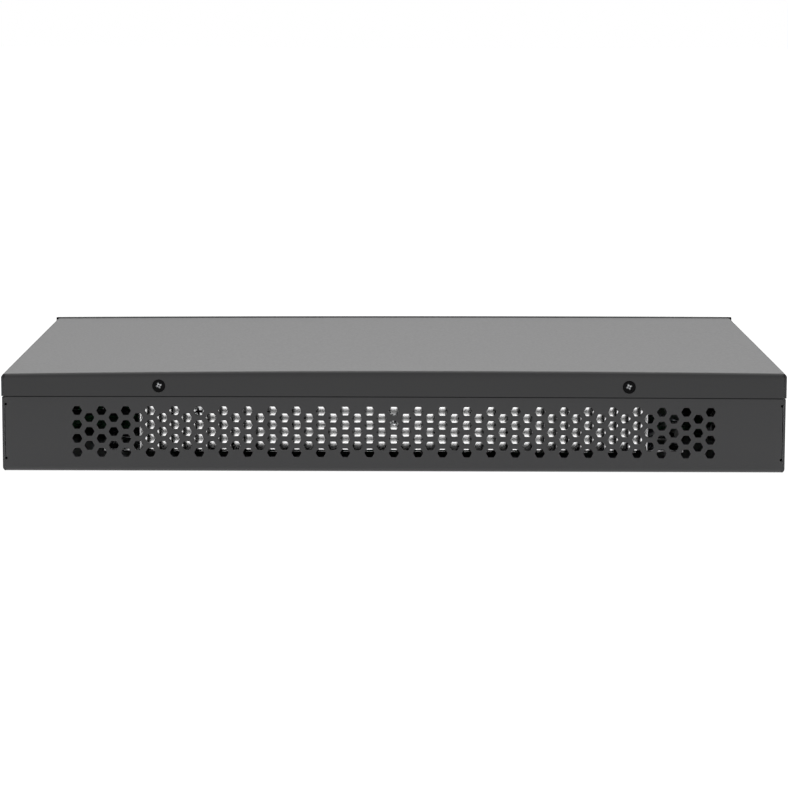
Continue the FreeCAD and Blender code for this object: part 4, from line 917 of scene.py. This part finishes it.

# %% [markdown]
# ## Screw heads
#
# Every screw has a cross recess. Two crossed boxes could be cut out of a disc, but that leaves knife edges.
# Here the head is a surface over a disc, and its slopes come by themselves: its height is a small dome or a
# flat, minus the recess, whose two crossed grooves get shallower from the middle to their ends. Black zinc
# plate is a dark chromate film over steel, so a driver leaves the middle of the recess bare and bright.
# On bright zinc the recess is painted nearly black: a painted shade for the shadow in it.


# %% One head for every screw
def across_axis(axis):
    """Two directions at right angles to an axis and to each other."""
    side = np.cross(axis, [0.0, 0.0, 1.0]) if abs(axis[2]) < 0.9 else np.array([1.0, 0.0, 0.0])
    return side, np.cross(axis, side)


def screw_head(centre, axis, radius, dome, drop, groove, side_depth=0.6, rings=22, spokes=64, turn=0.35,
               worn=1.6):
    """Head whose middle is at centre and that looks along axis, with a mark for each point.

    Height at radius r: dome (1 - (r / radius)^2) - drop - groove depth. With turn the cross turns about the
    middle. Its grooves are where the smaller of |u| and |v| is under half the groove's width, which falls
    by 0.12 of groove towards the rim; they end with a slope at 0.66 of the radius. The rim turns down over
    the last three rings to side_depth. A mark is 1 in the grooves near the middle and falls to 0 outwards:
    the last argument less 3 r / radius. On black zinc a marked place is steel rubbed bare; on bright zinc
    it is painted shade in the recess. The innermost ring, 0.02 of the radius, stays open."""
    r = radius * np.concatenate([np.linspace(0.02, 0.94, rings), [0.98, 1.0, 1.0]])
    angle = np.linspace(0, 2 * np.pi, spokes, endpoint=False)
    u = r[:, None] * np.cos(angle)[None, :]
    v = r[:, None] * np.sin(angle)[None, :]
    flat = dome * (1 - (r / radius) ** 2)
    flat[-3:] -= np.array([0.03, 0.12, side_depth])
    c, s = math.cos(turn), math.sin(turn)
    across = np.minimum(abs(u * c + v * s), abs(v * c - u * s))
    width = groove * (0.5 - 0.12 * r[:, None] / radius)
    edge = np.clip((width - across) / (0.12 * groove) + 0.5, 0, 1)
    reach = np.clip((0.66 * radius - r[:, None]) / (0.12 * radius), 0, 1)
    depth = (0.45 + 0.75 * (1 - r[:, None] / radius)) * radius * 0.3
    height = flat[:, None] - depth * edge * reach - drop
    side, other = across_axis(axis)
    points = np.asarray(centre) + grid(u, v, height) @ np.stack([side, other, np.asarray(axis, float)])
    mark = edge * reach * np.clip(worn - 3 * r[:, None] / radius, 0, 1)
    return patch(points, wrap=True), mark.ravel()


def lip_screws(name, places, node):
    """Flush black heads in the lid's lips; each place is the middle of a CAD screw's box."""
    heads = []
    for x, y, z in places:
        side = lip_side((x, y, z))
        face, axis = ((side * LID_HALF, y, z), (side, 0, 0)) if side else ((x, LID_REAR, z), (0, -1, 0))
        heads.append(screw_head(face, axis, LIP_SCREW_RADIUS, 0.0, 0.2, 0.95))
    return marked_piece(name, heads, black_zinc, smooth=30, weld=0.001, instead_of=[node],
                        slot="black_oxide_steel")


def pan_screws(name, node, axis, material, slot, dome=0.35, groove=0.36, replace=True, **recess):
    """Pan heads over a CAD group's screws: head radius and place come from each screw's own box."""
    axis = np.asarray(axis, float)
    along = int(np.argmax(abs(axis)))
    heads = []
    for low, high in solids(node):
        middle = (low + high) / 2
        middle[along] = (high if axis.sum() > 0 else low)[along]
        wide = np.delete(high - low, along).min() / 2
        heads.append(screw_head(middle - axis * dome, axis, wide * 0.98, dome, 0.0, wide * groove,
                                side_depth=1.4, **recess))
    return marked_piece(name, heads, material, smooth=30, weld=0.001, slot=slot,
                        instead_of=[node] if replace else [])


lip_screws("rear_lip_screws", rear_screws, "rear_cover_screws")
lip_screws("side_lip_screws", side_screws, "side_cover_screws")
pan_screws("foot_screw_heads", "power_foot_screws", (0, 0, 1), black_zinc, "black_oxide_steel")
# The bright heads' recesses are marked, and bright zinc paints them nearly black: a painted shade.
pan_screws("plate_screw_heads", "power_plate_screws", (0, -1, 0), bright_zinc, "zinc_plated_steel", dome=0.2,
           groove=0.28, turn=0.15, worn=2.3)
pan_screws("board_screw_heads", "board_screws", (0, 0, 1), bright_zinc, "zinc_plated_steel", replace=False)
pan_screws("inlet_screw_heads", "mains_inlet_screws", (0, 1, 0), black_zinc, "black_oxide_steel")
print("screws in the rear lip:", len(rear_screws), "and in the side lips:", len(side_screws))

# %% [markdown]
# ## The port panel
#
# The panel is a shallow steel tray stood on edge: a face with the cut-outs, and a return of 4.4 mm folded
# back on all four sides, which is what the lid's front edge stops against. From behind only its top return
# shows, as a thin bright line past the lid with a dark gap in front of it. Five plates would show their
# seams, so it is one grid over the face and its four returns; the round holes are rings set into square
# cells of that grid.

# %% Cut-outs of the panel
# PANEL_PROUD is how far the panel's top stands over the lid's front edge. Up to LEVEL_UP_TO its grid lines
# are level. Each cut-out is (x low, x high, z low, z high), each round hole (x, z, radius, half its cell).
panel_high = box("port_panel")[1]
PANEL_SHEET = 1.2
PANEL_Y = panel_high[1]
RETURN = 4.4
PANEL_BEND = 0.7
PANEL_PROUD = 0.34
PANEL_INSET = 0.03
LEVEL_UP_TO = 38.0
SUPPORT_HALF = 160
FIT = 0.2
INLET_HALF = (13.5, 9.8)
inlet_middle = sum(box("mains_inlet")) / 2
lamp_boxes = solids("status_light_pipes")
button_low, button_high = box("mode_button")
button_middle = (button_low + button_high) / 2
round_holes = [(*((low + high) / 2)[[0, 2]], 1.6, 2.25) for low, high in lamp_boxes]
round_holes.append((button_middle[0], button_middle[2], 3.2, 4.2))
cut_boxes = [(low[0] - FIT, high[0] + FIT, low[2] - FIT, high[2] + FIT)
             for low, high in map(box, ("port_block_1", "port_block_2", "module_cage_1", "module_cage_2",
                                        "console_jack"))]
cut_boxes.append((inlet_middle[0] - INLET_HALF[0], inlet_middle[0] + INLET_HALF[0],
                  inlet_middle[2] - INLET_HALF[1], inlet_middle[2] + INLET_HALF[1]))
left_out = cut_boxes + [(x - cell, x + cell, z - cell, z + cell) for x, z, radius, cell in round_holes]
print("port panel:", len(cut_boxes), "cut-outs and", len(round_holes), "round holes")


# %% Grid of the panel
def panel_top(x):
    """Height of the panel's top: the lid's front edge there, and a little more."""
    return lid_height(x, LID_FRONT) + PANEL_PROUD


def turned_lines(middle, low, high):
    """Places and depths behind the face of grid lines: return, bend, flat middle, bend and return."""
    turn = np.radians([22.5, 45, 67.5])
    out = PANEL_BEND - PANEL_BEND * np.sin(turn)
    drop = PANEL_BEND * (1 - np.cos(turn))
    place = np.concatenate([[low, low], (low + out)[::-1], middle, high - out, [high, high]])
    depth = np.concatenate([[RETURN, PANEL_BEND], drop[::-1], middle * 0, drop, [PANEL_BEND, RETURN]])
    return place, depth


def panel_skin():
    """Grid over face and returns: depth behind the face is the larger of the two lines' depths.

    Above LEVEL_UP_TO the lines rise more and more with the panel's crowned top. The four corners of the
    returns are left open, as folded ones are."""
    half = panel_high[0] - PANEL_INSET
    height = panel_top(0)
    cells = [np.linspace(place - cell, place + cell, HOLE_PARTS + 1)
             for *places, radius, cell in round_holes for place in places]
    x_middle = merged(*[edges[:2] for edges in cut_boxes], *cells[::2],
                      [PANEL_BEND - half, half - PANEL_BEND], np.linspace(-SUPPORT_HALF, SUPPORT_HALF, 17))
    z_middle = merged(*[edges[2:] for edges in cut_boxes], *cells[1::2],
                      [PANEL_BEND, height - PANEL_BEND, LEVEL_UP_TO])
    x, depth_x = turned_lines(x_middle, -half, half)
    z, depth_z = turned_lines(z_middle, PANEL_INSET, height)
    depth = np.maximum(depth_x[None, :], depth_z[:, None])
    share = np.clip((z - LEVEL_UP_TO) / (height - PANEL_BEND - LEVEL_UP_TO), 0, 1)[:, None]
    points = grid(x, PANEL_Y - depth, z[:, None] + share * (panel_top(x) - height))
    mid_x, mid_y, mid_z = face_middles(grid(x, 0, z[:, None]))
    keep = np.ones(mid_x.shape, bool)
    for low_x, high_x, low_z, high_z in left_out:
        keep &= ~((mid_x > low_x) & (mid_x < high_x) & (mid_z > low_z) & (mid_z < high_z))
    for row in (0, -1):
        keep[row, [0, -1]] = False
    return patch(points, keep=keep, flip=True)


port_panel = piece("port_panel_skin", [panel_skin()] + [hole_ring((x, z), cell, radius, PANEL_Y)
                                                        for x, z, radius, cell in round_holes],
                   powder_coat, slot="powder_coated_steel", weld=0.004, instead_of=["port_panel"])
thicken(port_panel, PANEL_SHEET, edge=0.2, angle=50)
print("port panel:", len(port_panel.data.polygons), "faces")

# %% [markdown]
# Inside, the panel carries a shelf that the lid's front edge lies on and two tabs that the tray's sides are
# spot-welded to. Both are plain folded strips, bent off the panel's back.

# %% Shelf and tabs
# TAB_INSET is the tray's sheet and the room round it, which keep the tabs off the panel's ends.
SHELF_SHEET = 1.0
SHELF_DEPTH = 14.0
SHELF_TOP = 41.9
SHELF_HALF = 162.0
STRIP_BEND = 1.6
TAB_Z = (12.5, 21.5)
TAB_INSET = 1.6
TAB_X = panel_high[0] - TAB_INSET - FIT


def folded_strip(name, across, at, upright, thickness):
    """Strip out of the panel's back: a bend of STRIP_BEND, then flat for SHELF_DEPTH from the face.

    across holds the places of its lines, and at is its flat's height or, when it is upright, its flat's x.
    In the bend it lies lower, or nearer the middle, by radius (1 - cos of the turn)."""
    turn = np.radians(np.linspace(90, 0, 6))
    back = PANEL_Y - PANEL_SHEET + 0.1
    y = np.concatenate([back - STRIP_BEND * (1 - np.sin(turn)), [PANEL_Y - SHELF_DEPTH]])[:, None]
    drop = np.concatenate([STRIP_BEND * (1 - np.cos(turn)), [0]])[:, None]
    points = grid(at - math.copysign(1, at) * drop, y, across) if upright else grid(across, y, at - drop)
    thicken(piece(name, [patch(points)], powder_coat, slot="powder_coated_steel"), thickness, edge=0.12)


folded_strip("panel_shelf", np.linspace(-SHELF_HALF, SHELF_HALF, 9), SHELF_TOP, False, SHELF_SHEET)
folded_strip("panel_tab_left", np.linspace(*TAB_Z, 4), -TAB_X, True, PANEL_SHEET)
folded_strip("panel_tab_right", np.linspace(*TAB_Z, 4), TAB_X, True, PANEL_SHEET)
print("shelf", 2 * SHELF_HALF, "mm long, tabs at x", round(float(TAB_X), 2))

# %% [markdown]
# ## The tray
#
# Floor and sides are one folded sheet. Near the lid's lip the sides step in by 0.7 mm, so that lip and
# side end up almost flush. Each side has ten upright air slots and four tapped holes for a rack ear. Three
# plates would do for a rough model, but a real bend has a radius and no seam. So the sheet is followed
# across, up one side, over the floor and down the other, and along its depth.
#
# Steel for such cases comes zinc-coated and is painted on the outside only, so the inside of tray and lid
# is bare zinc. Solidify can give the sheet's second face the second material, which costs no extra grid.

# %% Tray
# SLOT_Z and SLOT_WIDTH are an air slot's ends and width. EAR_CELL is half the square cell of an ear's hole.
# LIP_ROOM_Y is where the upper part of the sides starts, in front of the lid's rear lip.
tray_high = box("base_tray")[1]
TRAY_SHEET = 1.0
TRAY_BEND = 1.7
TRAY_STEP = 0.7
TRAY_SHOULDER_Z = 37.0
SLOT_Z = (8.0, 28.0)
SLOT_WIDTH = 4.0
SLOT_STEP = 7.0
EAR_CELL = 3.0
EAR_RADIUS = 1.65
EAR_Z = (8.0, 26.0)
EAR_Y = (72.05, 97.05)
LIP_ROOM_Y = LID_REAR + 1.1
fan_y = [sum(box(name))[1] / 2 for name in ("fan_frame_1", "fan_frame_2")]
slot_y = [middle + SLOT_STEP * k for middle in fan_y for k in (-2, -1, 0, 1, 2)]
ears = [(y, z) for y in EAR_Y for z in EAR_Z]


def cell_lines(places, half):
    """Grid lines that meet the square cells round those places."""
    return np.concatenate([np.linspace(place - half, place + half, HOLE_PARTS + 1) for place in places])


def tray_skin():
    """Grid: sheet's path across by its depth; slots, ear cells and the rear wall's place are left out.

    The path is flat, then a bend of x = radius sin a and z = radius (1 - cos a), then the side, which moves
    in by as much as it rises until it has stepped in by TRAY_STEP."""
    half = tray_high[0]
    turn = np.radians([15, 30, 45, 60, 75])
    start = step_start(half)
    side_z = merged([TRAY_BEND, FLAT_FROM, start, start + TRAY_STEP, TRAY_SHOULDER_Z, tray_high[2]], SLOT_Z,
                    cell_lines(EAR_Z, EAR_CELL))
    side_x = half - np.clip(side_z - start, 0, TRAY_STEP)
    flat = np.concatenate([np.linspace(0, half - TRAY_BEND - 0.4, 15), [half - TRAY_BEND]])
    x = np.concatenate([flat, half - TRAY_BEND + TRAY_BEND * np.sin(turn), side_x])
    z = np.concatenate([flat * 0, TRAY_BEND * (1 - np.cos(turn)), side_z])
    x, z = np.concatenate([-x[:0:-1], x]), np.concatenate([z[:0:-1], z])
    y = merged([WALL_Y, LIP_ROOM_Y, WALL_Y + WALL_FOOT, 0.0, tray_high[1]],
               [place + side * SLOT_WIDTH / 2 for place in slot_y for side in (-1, 1)],
               cell_lines(EAR_Y, EAR_CELL))
    points = grid(x, y[:, None], z)
    mid_x, mid_y, mid_z = face_middles(points)
    mid_x = abs(mid_x)
    in_side = mid_x > half - 0.3
    in_floor = (mid_x < half - 1.3) & (mid_z < 1)
    cut = in_floor & (mid_y < WALL_Y + WALL_FOOT)
    cut |= (mid_z > start) & (mid_y < LIP_ROOM_Y)
    for place in slot_y:
        cut |= in_side & near(mid_y, place, SLOT_WIDTH / 2) & (mid_z > SLOT_Z[0]) & (mid_z < SLOT_Z[1])
    for ear_y, ear_z in ears:
        cut |= in_side & near(mid_y, ear_y, EAR_CELL) & near(mid_z, ear_z, EAR_CELL)
    return patch(points, keep=~cut)


ear_rings = [hole_ring(ear, EAR_CELL, EAR_RADIUS, side * tray_high[0], along_x=False)
             for side in (-1, 1) for ear in ears]
tray = piece("tray", [tray_skin()] + ear_rings, powder_coat, slot="powder_coated_steel", weld=0.004,
             instead_of=["base_tray"])
thicken(tray, TRAY_SHEET, edge=0.2, angle=50, inside=bare_zinc)
print("tray:", len(slot_y) * 2, "air slots and", len(ear_rings), "ear holes")

# %% [markdown]
# ## The power supply's floor plate
#
# A flat zinc-plated plate under the power supply's bright case, with a foot tab at each corner that is
# screwed to a post of the tray. Seen through the lowest hexagons only the tabs' rear edges show. Its outline
# could be a filled curve, but a grid with its spare faces left out takes its thickness like the others.

# %% Floor plate with four feet
# TAB_REAR and TAB_HALF are a tab's reach behind and in front of its screw, TAB_REACH its reach sideways.
PLATE_SHEET = 1.0
TAB_HALF = 7.0
TAB_REAR = 9.5
TAB_REACH = 15.1
plate_low, plate_high = box("power_base_plate")
case_end = box("power_supply_case")[1][0]


def floor_plate():
    """Flat grid over plate and tabs; faces that belong to neither are left out."""
    screw_ys = sorted({round(float(place[1]), 2) for place in middles("power_foot_screws")})
    tabs = [(max(place - TAB_REAR, plate_low[1]), place + TAB_HALF) for place in screw_ys]
    x = merged([-case_end - TAB_REACH], np.linspace(-case_end, case_end, 9), [case_end + TAB_REACH])
    y = merged([plate_low[1], plate_high[1]], *tabs)
    points = grid(x, y[:, None], plate_high[2])
    mid_x, mid_y = face_middles(points)[:2]
    keep = abs(mid_x) < case_end
    for start, stop in tabs:
        keep |= (mid_y > start) & (mid_y < stop)
    return patch(points, keep=keep)


plate = piece("power_floor_plate", [floor_plate()], bright_zinc, slot="zinc_plated_steel",
              instead_of=["power_base_plate"])
thicken(plate, PLATE_SHEET)
print("floor plate:", round(float(2 * (case_end + TAB_REACH)), 1), "mm over its tabs")

# %% [markdown]
# ## Softer edges for moulded and stamped pieces
#
# No real edge is as sharp as a drawn one. A material's Bevel node can fake a round edge, but the mesh stays
# sharp for everyone who uses it. So plain pieces keep their CAD shape, but a copy of each takes its place
# here with its many flat triangles joined into whole faces and its edges rounded by some tenths of a
# millimetre, which is what makes an edge catch the light.


# %% Rounded copies
def rounded_copy(node, material, edge):
    """Copy of a CAD node: points merged, flat neighbours joined into one face, edges rounded."""
    name = node + "_rounded"
    work = bmesh.new()
    work.from_mesh(nodes[node].data)
    bmesh.ops.remove_doubles(work, verts=work.verts, dist=0.002 * MM)
    bmesh.ops.dissolve_limit(work, angle_limit=math.radians(1), verts=work.verts, edges=work.edges)
    body = node if node.startswith("fan_rotor") else "chassis"
    soften(finished(work, bpy.data.meshes.new(name), material, 30, name, body, [node]), edge,
           angle=30)


# Each row: finish, slot, rounding in mm, nodes.
ROUNDED = [
    (black_nylon, "black_moulding", 0.35, ["mains_inlet"]),
    (tin_plate, "tin_plated_shield", 0.3, ["mains_inlet_blades"]),
    (tin_plate, "tin_plated_shield", 0.12, ["port_block_1", "port_block_2", "console_jack"]),
    (tin_plate, "tin_plated_shield", 0.1, ["module_cage_1", "module_cage_2"]),
    (black_nylon, "black_moulding", 0.3, ["light_pipe_holder"]),
    (black_nylon, "black_moulding", 0.2, ["mode_contact_switch"]),
    (white_nylon, "white_moulding", 0.25, ["power_header"]),
    (ferrite, "ferrite", 0.5, ["power_transformer"]),
    (epoxy, "black_epoxy", 0.15, ["switch_chip"]),
    (epoxy, "black_epoxy", 0.12, ["physical_layer_chip_1", "physical_layer_chip_2", "memory_chips"]),
    (extruded_aluminium, "heatsink_aluminium", 0.12, ["switch_heatsink", "physical_layer_heatsink_1",
                                                      "physical_layer_heatsink_2"]),
    (extruded_aluminium, "heatsink_aluminium", 0.15, ["power_heatsinks"]),
    (black_nylon, "black_moulding", 0.3, ["fan_frame_1", "fan_frame_2"]),
    (black_nylon, "black_moulding", 0.12, ["fan_rotor_1", "fan_rotor_2"]),
]
for material, slot, edge, names in ROUNDED:
    for node in names:
        rounded_copy(node, material, edge)
print("rounded copies:", sum(len(names) for *rest, names in ROUNDED))

# %% [markdown]
# ## Turned pieces
#
# Light pipes, capacitors and the mode button are all round. Each is a profile, a list of radius and
# height, turned about an axis. The Screw modifier turns one too, but only about its object's own axis, and
# here every finished piece keeps its object at the origin, so the points are turned instead.

# %% Turned shapes
# A profile starts and ends AXIS_GAP from the axis. The ring that stays open there is 0.02 mm wide, far too
# small to show.
AXIS_GAP = 0.01


def turned(profile, foot, axis, sides=32):
    """Surface of a profile of (radius, height) turned about axis through foot."""
    profile = np.asarray(profile, float)
    side, other = across_axis(axis)
    angle = np.linspace(0, 2 * np.pi, sides, endpoint=False)
    rim = np.cos(angle)[:, None] * side + np.sin(angle)[:, None] * other
    points = (np.asarray(foot) + profile[:, 0, None, None] * rim[None]
              + profile[:, 1, None, None] * np.asarray(axis, float))
    return patch(points, wrap=True)


def rounded_shoulder(radius, length, corner):
    """Points of (radius, height) along the quarter circle at a round piece's far end."""
    angle = np.radians(np.linspace(0, 90, 6))
    return np.stack([radius - corner + corner * np.cos(angle), length - corner + corner * np.sin(angle)], 1)


def light_pipe(low, high):
    """Pin with a chamfered foot and a domed end, along Y."""
    radius = (high[2] - low[2]) / 2
    length = high[1] - low[1]
    profile = np.concatenate([[[AXIS_GAP, 0], [radius - 0.1, 0], [radius, 0.1]],
                              rounded_shoulder(radius, length, 0.5), [[AXIS_GAP, length]]])
    return turned(profile, [(low[0] + high[0]) / 2, low[1], (low[2] + high[2]) / 2], (0, 1, 0))


piece("light_pipes", [light_pipe(*pair) for pair in lamp_boxes], clear_plastic, slot="clear_light_pipe",
      instead_of=["status_light_pipes"])


def can(low, high, sides=40):
    """Sleeved aluminium can: a groove near its foot, a rounded shoulder, and a bare, sunken top."""
    radius = (high[0] - low[0]) / 2
    tall = high[2] - low[2]
    bare, sunk = 0.78 * radius, tall - 0.25
    top = [[bare - 0.15, sunk], [bare * 0.6, sunk], [AXIS_GAP, sunk]]
    profile = np.concatenate([[[AXIS_GAP, 0], [radius * 0.9, 0], [radius, 0.3], [radius, 1.6],
                               [radius * 0.94, 2.1], [radius * 0.94, 2.4], [radius, 2.9]],
                              rounded_shoulder(radius, tall, 0.8), [[bare, tall]], top])
    made = turned(profile, [(low[0] + high[0]) / 2, (low[1] + high[1]) / 2, low[2]], (0, 0, 1), sides)
    return made, np.repeat((np.arange(len(profile)) >= len(profile) - len(top)).astype(float), sides)


for name, node in (("bulk_cans", "bulk_capacitors"), ("board_cans", "board_capacitors")):
    marked_piece(name, [can(*pair) for pair in solids(node)], sleeve, slot="capacitor_sleeve",
                 instead_of=[node], smooth=50)

# %% Mode button
# A thin stem pushes the contact, a collar stops the button behind the panel, and its cap is dished a little.
BUTTON_PROUD = 1.5
STEM_RADIUS = 1.5
COLLAR_WIDE = 1.0
COLLAR_LONG = 1.2
button_radius = (button_high[2] - button_low[2]) / 2 - COLLAR_WIDE
button_length = button_high[1] - button_low[1]
collar_back = button_length - BUTTON_PROUD - PANEL_SHEET - FIT - COLLAR_LONG
profile = np.concatenate([[[AXIS_GAP, 0], [STEM_RADIUS, 0], [STEM_RADIUS, collar_back],
                           [button_radius + COLLAR_WIDE, collar_back],
                           [button_radius + COLLAR_WIDE, collar_back + COLLAR_LONG],
                           [button_radius, collar_back + COLLAR_LONG]],
                          rounded_shoulder(button_radius, button_length, 0.5),
                          [[button_radius - 0.8, button_length - 0.05], [1.4, button_length - 0.3],
                           [AXIS_GAP, button_length - 0.35]]])
button_foot = [button_middle[0], button_low[1], button_middle[2]]
piece("mode_button_cap", [turned(profile, button_foot, (0, 1, 0), 48)], grey_plastic, body="mode_button",
      slot="grey_button_plastic", instead_of=["mode_button"], smooth=40)
print("turned:", len(lamp_boxes), "light pipes, the capacitors' cans and the button")

# %% [markdown]
# ## Small parts on the main board
#
# Round every chip stand the small capacitors that feed it: tan ceramic bodies of 2 by 1.2 mm, tinned at
# both ends and pointing at the chip. Each is a rounded section swept along its length. A place that comes
# too near to a screw, a jack or another chip is left out. A linked copy for each would make hundreds of
# objects; one mesh of them all is as light, and is one piece.

# %% Chip capacitors
# PART_GAP is from a chip's side to a part's middle, PART_PITCH from part to part, PART_CLEAR the least room
# between a part and what else stands there, BOARD_RIM the bare rim of the board.
PART_LONG, PART_WIDE, PART_TALL, PART_TINNED = 2.0, 1.2, 0.7, 0.42
PART_CORNER = 0.12
PART_SOLDER = 0.02
PART_GAP = 2.4
PART_PITCH = 2.6
PART_CLEAR = 1.3
BOARD_RIM = 2
CHIP_NODES = ["switch_chip", "physical_layer_chip_1", "physical_layer_chip_2", "memory_chips",
              "power_header"]
KEPT_CLEAR = CHIP_NODES + ["board_screws", "board_capacitors", "port_block_1", "port_block_2",
                           "module_cage_1", "module_cage_2", "console_jack"]
board_low, board_high = box("main_board")


def chip_capacitor(x, y, along_x):
    """One body: an eight-sided section at ten stations, (reach, size) each, almost a point at its ends."""
    half = PART_LONG / 2
    ends = np.array([[half, 0.02], [half, 0.88], [half - 0.06, 1], [half - PART_TINNED, 1],
                     [half - PART_TINNED - 0.02, 1]])
    stations = np.concatenate([ends * [-1, 1], ends[::-1]])
    u, w, c = PART_WIDE / 2, PART_TALL / 2, PART_CORNER
    section = np.array([[-u + c, -w], [u - c, -w], [u, -w + c], [u, w - c], [u - c, w], [-u + c, w],
                        [-u, w - c], [-u, -w + c]])
    reach = stations[:, 0, None]
    across = stations[:, 1, None] * section[None, :, 0]
    up = board_high[2] + PART_SOLDER + w + stations[:, 1, None] * section[None, :, 1]
    points = grid(x + reach, y + across, up) if along_x else grid(x + across, y + reach, up)
    tinned = abs(stations[:, 0]) >= half - PART_TINNED - 0.001
    return patch(points, wrap=True), np.repeat(tinned.astype(float), len(section))


def places_round(low, high):
    """Places beside the four sides of a chip, and whether a part there lies along X."""
    found = []
    for along in (0, 1):
        count = int((high[along] - low[along]) // PART_PITCH) + 1
        steps = (low[along] + high[along]) / 2 + (np.arange(count) - (count - 1) / 2) * PART_PITCH
        for beside in (low[1 - along] - PART_GAP, high[1 - along] + PART_GAP):
            found += [(step, beside, False) if along == 0 else (beside, step, True) for step in steps]
    return found


def within(place, low, high, margin):
    """True where an (x, y) lies in a box widened by margin."""
    return (low[:2] - margin < place).all() and (place < high[:2] + margin).all()


def is_free(place):
    """True where a part lies on the board, off its rim, and clear of all that stands there."""
    return within(place, board_low, board_high, -BOARD_RIM) and not any(
        within(place, low, high, PART_CLEAR) for node in KEPT_CLEAR for low, high in solids(node))


capacitor_places = [place for node in CHIP_NODES for low, high in solids(node)
                    for place in places_round(low, high) if is_free(place[:2])]
marked_piece("chip_capacitors", [chip_capacitor(*place) for place in capacitor_places], ceramic,
             slot="capacitor_sleeve", smooth=30)
print("chip capacitors:", len(capacitor_places))

# %% [markdown]
# ## Inside the jacks
#
# A modular jack is a nylon housing in a tin-plated shield. Eight gold-plated spring wires start at the
# mouth on the side away from the latch, run in a little, and then slope across the opening to press on the
# plug. Beside the latch's slot two small windows show the link lamps. A wire could be a curve with a round
# section, but a ribbon through seven points, thickened a little, looks the same with far fewer faces.

# %% Housings, contacts and lamp windows
# Half width and half height of the opening, half width and depth of the latch's slot, depth of the housing.
JACK_WIDE, JACK_HIGH, JACK_LATCH, JACK_DROP, JACK_DEPTH = 5.95, 3.45, 3.2, 1.9, 13.8
JACK_STEP = 13.97
JACK_FRAME = 1.2
WIRE_STEP = 1.02
WIRE_HALF = 0.22
WIRE_THICK = 0.22
# Depth and distance from the opening's middle along a wire: in, round the bend and back on a slope.
WIRE_PATH = np.array([(1.2, 3.0), (1.6, 3.15), (3.4, 3.1), (4.2, 2.7), (8.5, -0.4), (10.0, -1.2),
                      (13.6, -1.3)])
jack_face = box("port_block_1")[1][1]


def jack_places():
    """Middle (x, z) of each jack's wide slot and the side its latch is on: -1 below, 1 above."""
    places = []
    reach = JACK_FRAME + JACK_DROP + JACK_HIGH
    for name, columns in (("port_block_1", 4), ("port_block_2", 4), ("console_jack", 1)):
        low, high = box(name)
        xs = [(low[0] + high[0]) / 2 + (k - (columns - 1) / 2) * JACK_STEP for k in range(columns)]
        places += [(x, low[2] + reach, -1) for x in xs]
        if columns > 1:
            places += [(x, high[2] - reach, 1) for x in xs]
    return places


def jack_housing(x, z, latch):
    """Wall of the nylon housing, just inside the shield's opening, and its back as one face.

    The outline has eight corners, for an opening with its latch's slot below, turned over for one above."""
    w, h, s, d = JACK_WIDE - 0.15, JACK_HIGH - 0.15, JACK_LATCH - 0.15, JACK_DROP
    outline = np.array([(-w, h), (w, h), (w, -h), (s, -h), (s, -h - d), (-s, -h - d), (-s, -h), (-w, -h)])
    depth = np.array([0.25, JACK_DEPTH])[:, None]
    points = grid(x + outline[:, 0], jack_face - depth, z - latch * outline[:, 1])
    return patch(points, wrap=True), points[1]


def jack_wire(x, z, latch, k):
    """Spring wire number k: a flat ribbon along WIRE_PATH."""
    width = np.array([-WIRE_HALF, WIRE_HALF])
    return patch(grid(x + (k - 3.5) * WIRE_STEP + width, jack_face - WIRE_PATH[:, 0, None],
                      z - latch * WIRE_PATH[:, 1, None]))


def lamp_window(x, z, latch, side):
    """Small lens beside the latch's slot: a flat with its edges rolled back."""
    middle = x + side * (JACK_WIDE + JACK_LATCH) / 2
    level = z + latch * (JACK_HIGH + JACK_DROP / 2 + 0.1)
    u = np.array([-1.05, -0.95, 0.95, 1.05])
    v = np.array([-0.7, -0.6, 0.6, 0.7])[:, None]
    edge = np.maximum(abs(u) > 1, abs(v) > 0.65)
    return patch(grid(middle + u, jack_face + 0.06 - 0.1 * edge, level + v))


# Acrylic with a diffusing dye: pale green and cloudy, not clear.
window_plastic = surface("lamp window", "#9fb08a", 0.18, grain=0.3, relief=0.001, tone=0.02, spread=0.02,
                         **{"Transmission Weight": 0.35})
jacks = jack_places()
housings = [jack_housing(*place) for place in jacks]
piece("jack_housings", [wall for wall, back in housings], black_nylon, slot="black_moulding",
      polygons=[back for wall, back in housings], outward=False)
wires = piece("jack_contacts", [jack_wire(*place, k) for place in jacks for k in range(8)], gold_plate,
              slot="tin_plated_shield")
thicken(wires, WIRE_THICK, edge=0.05, sides=1)
piece("lamp_windows", [lamp_window(*place, side) for place in jacks for side in (-1, 1)], window_plastic,
      slot="clear_light_pipe")
print("jacks:", len(jacks), "with", len(jacks) * 8, "contacts")
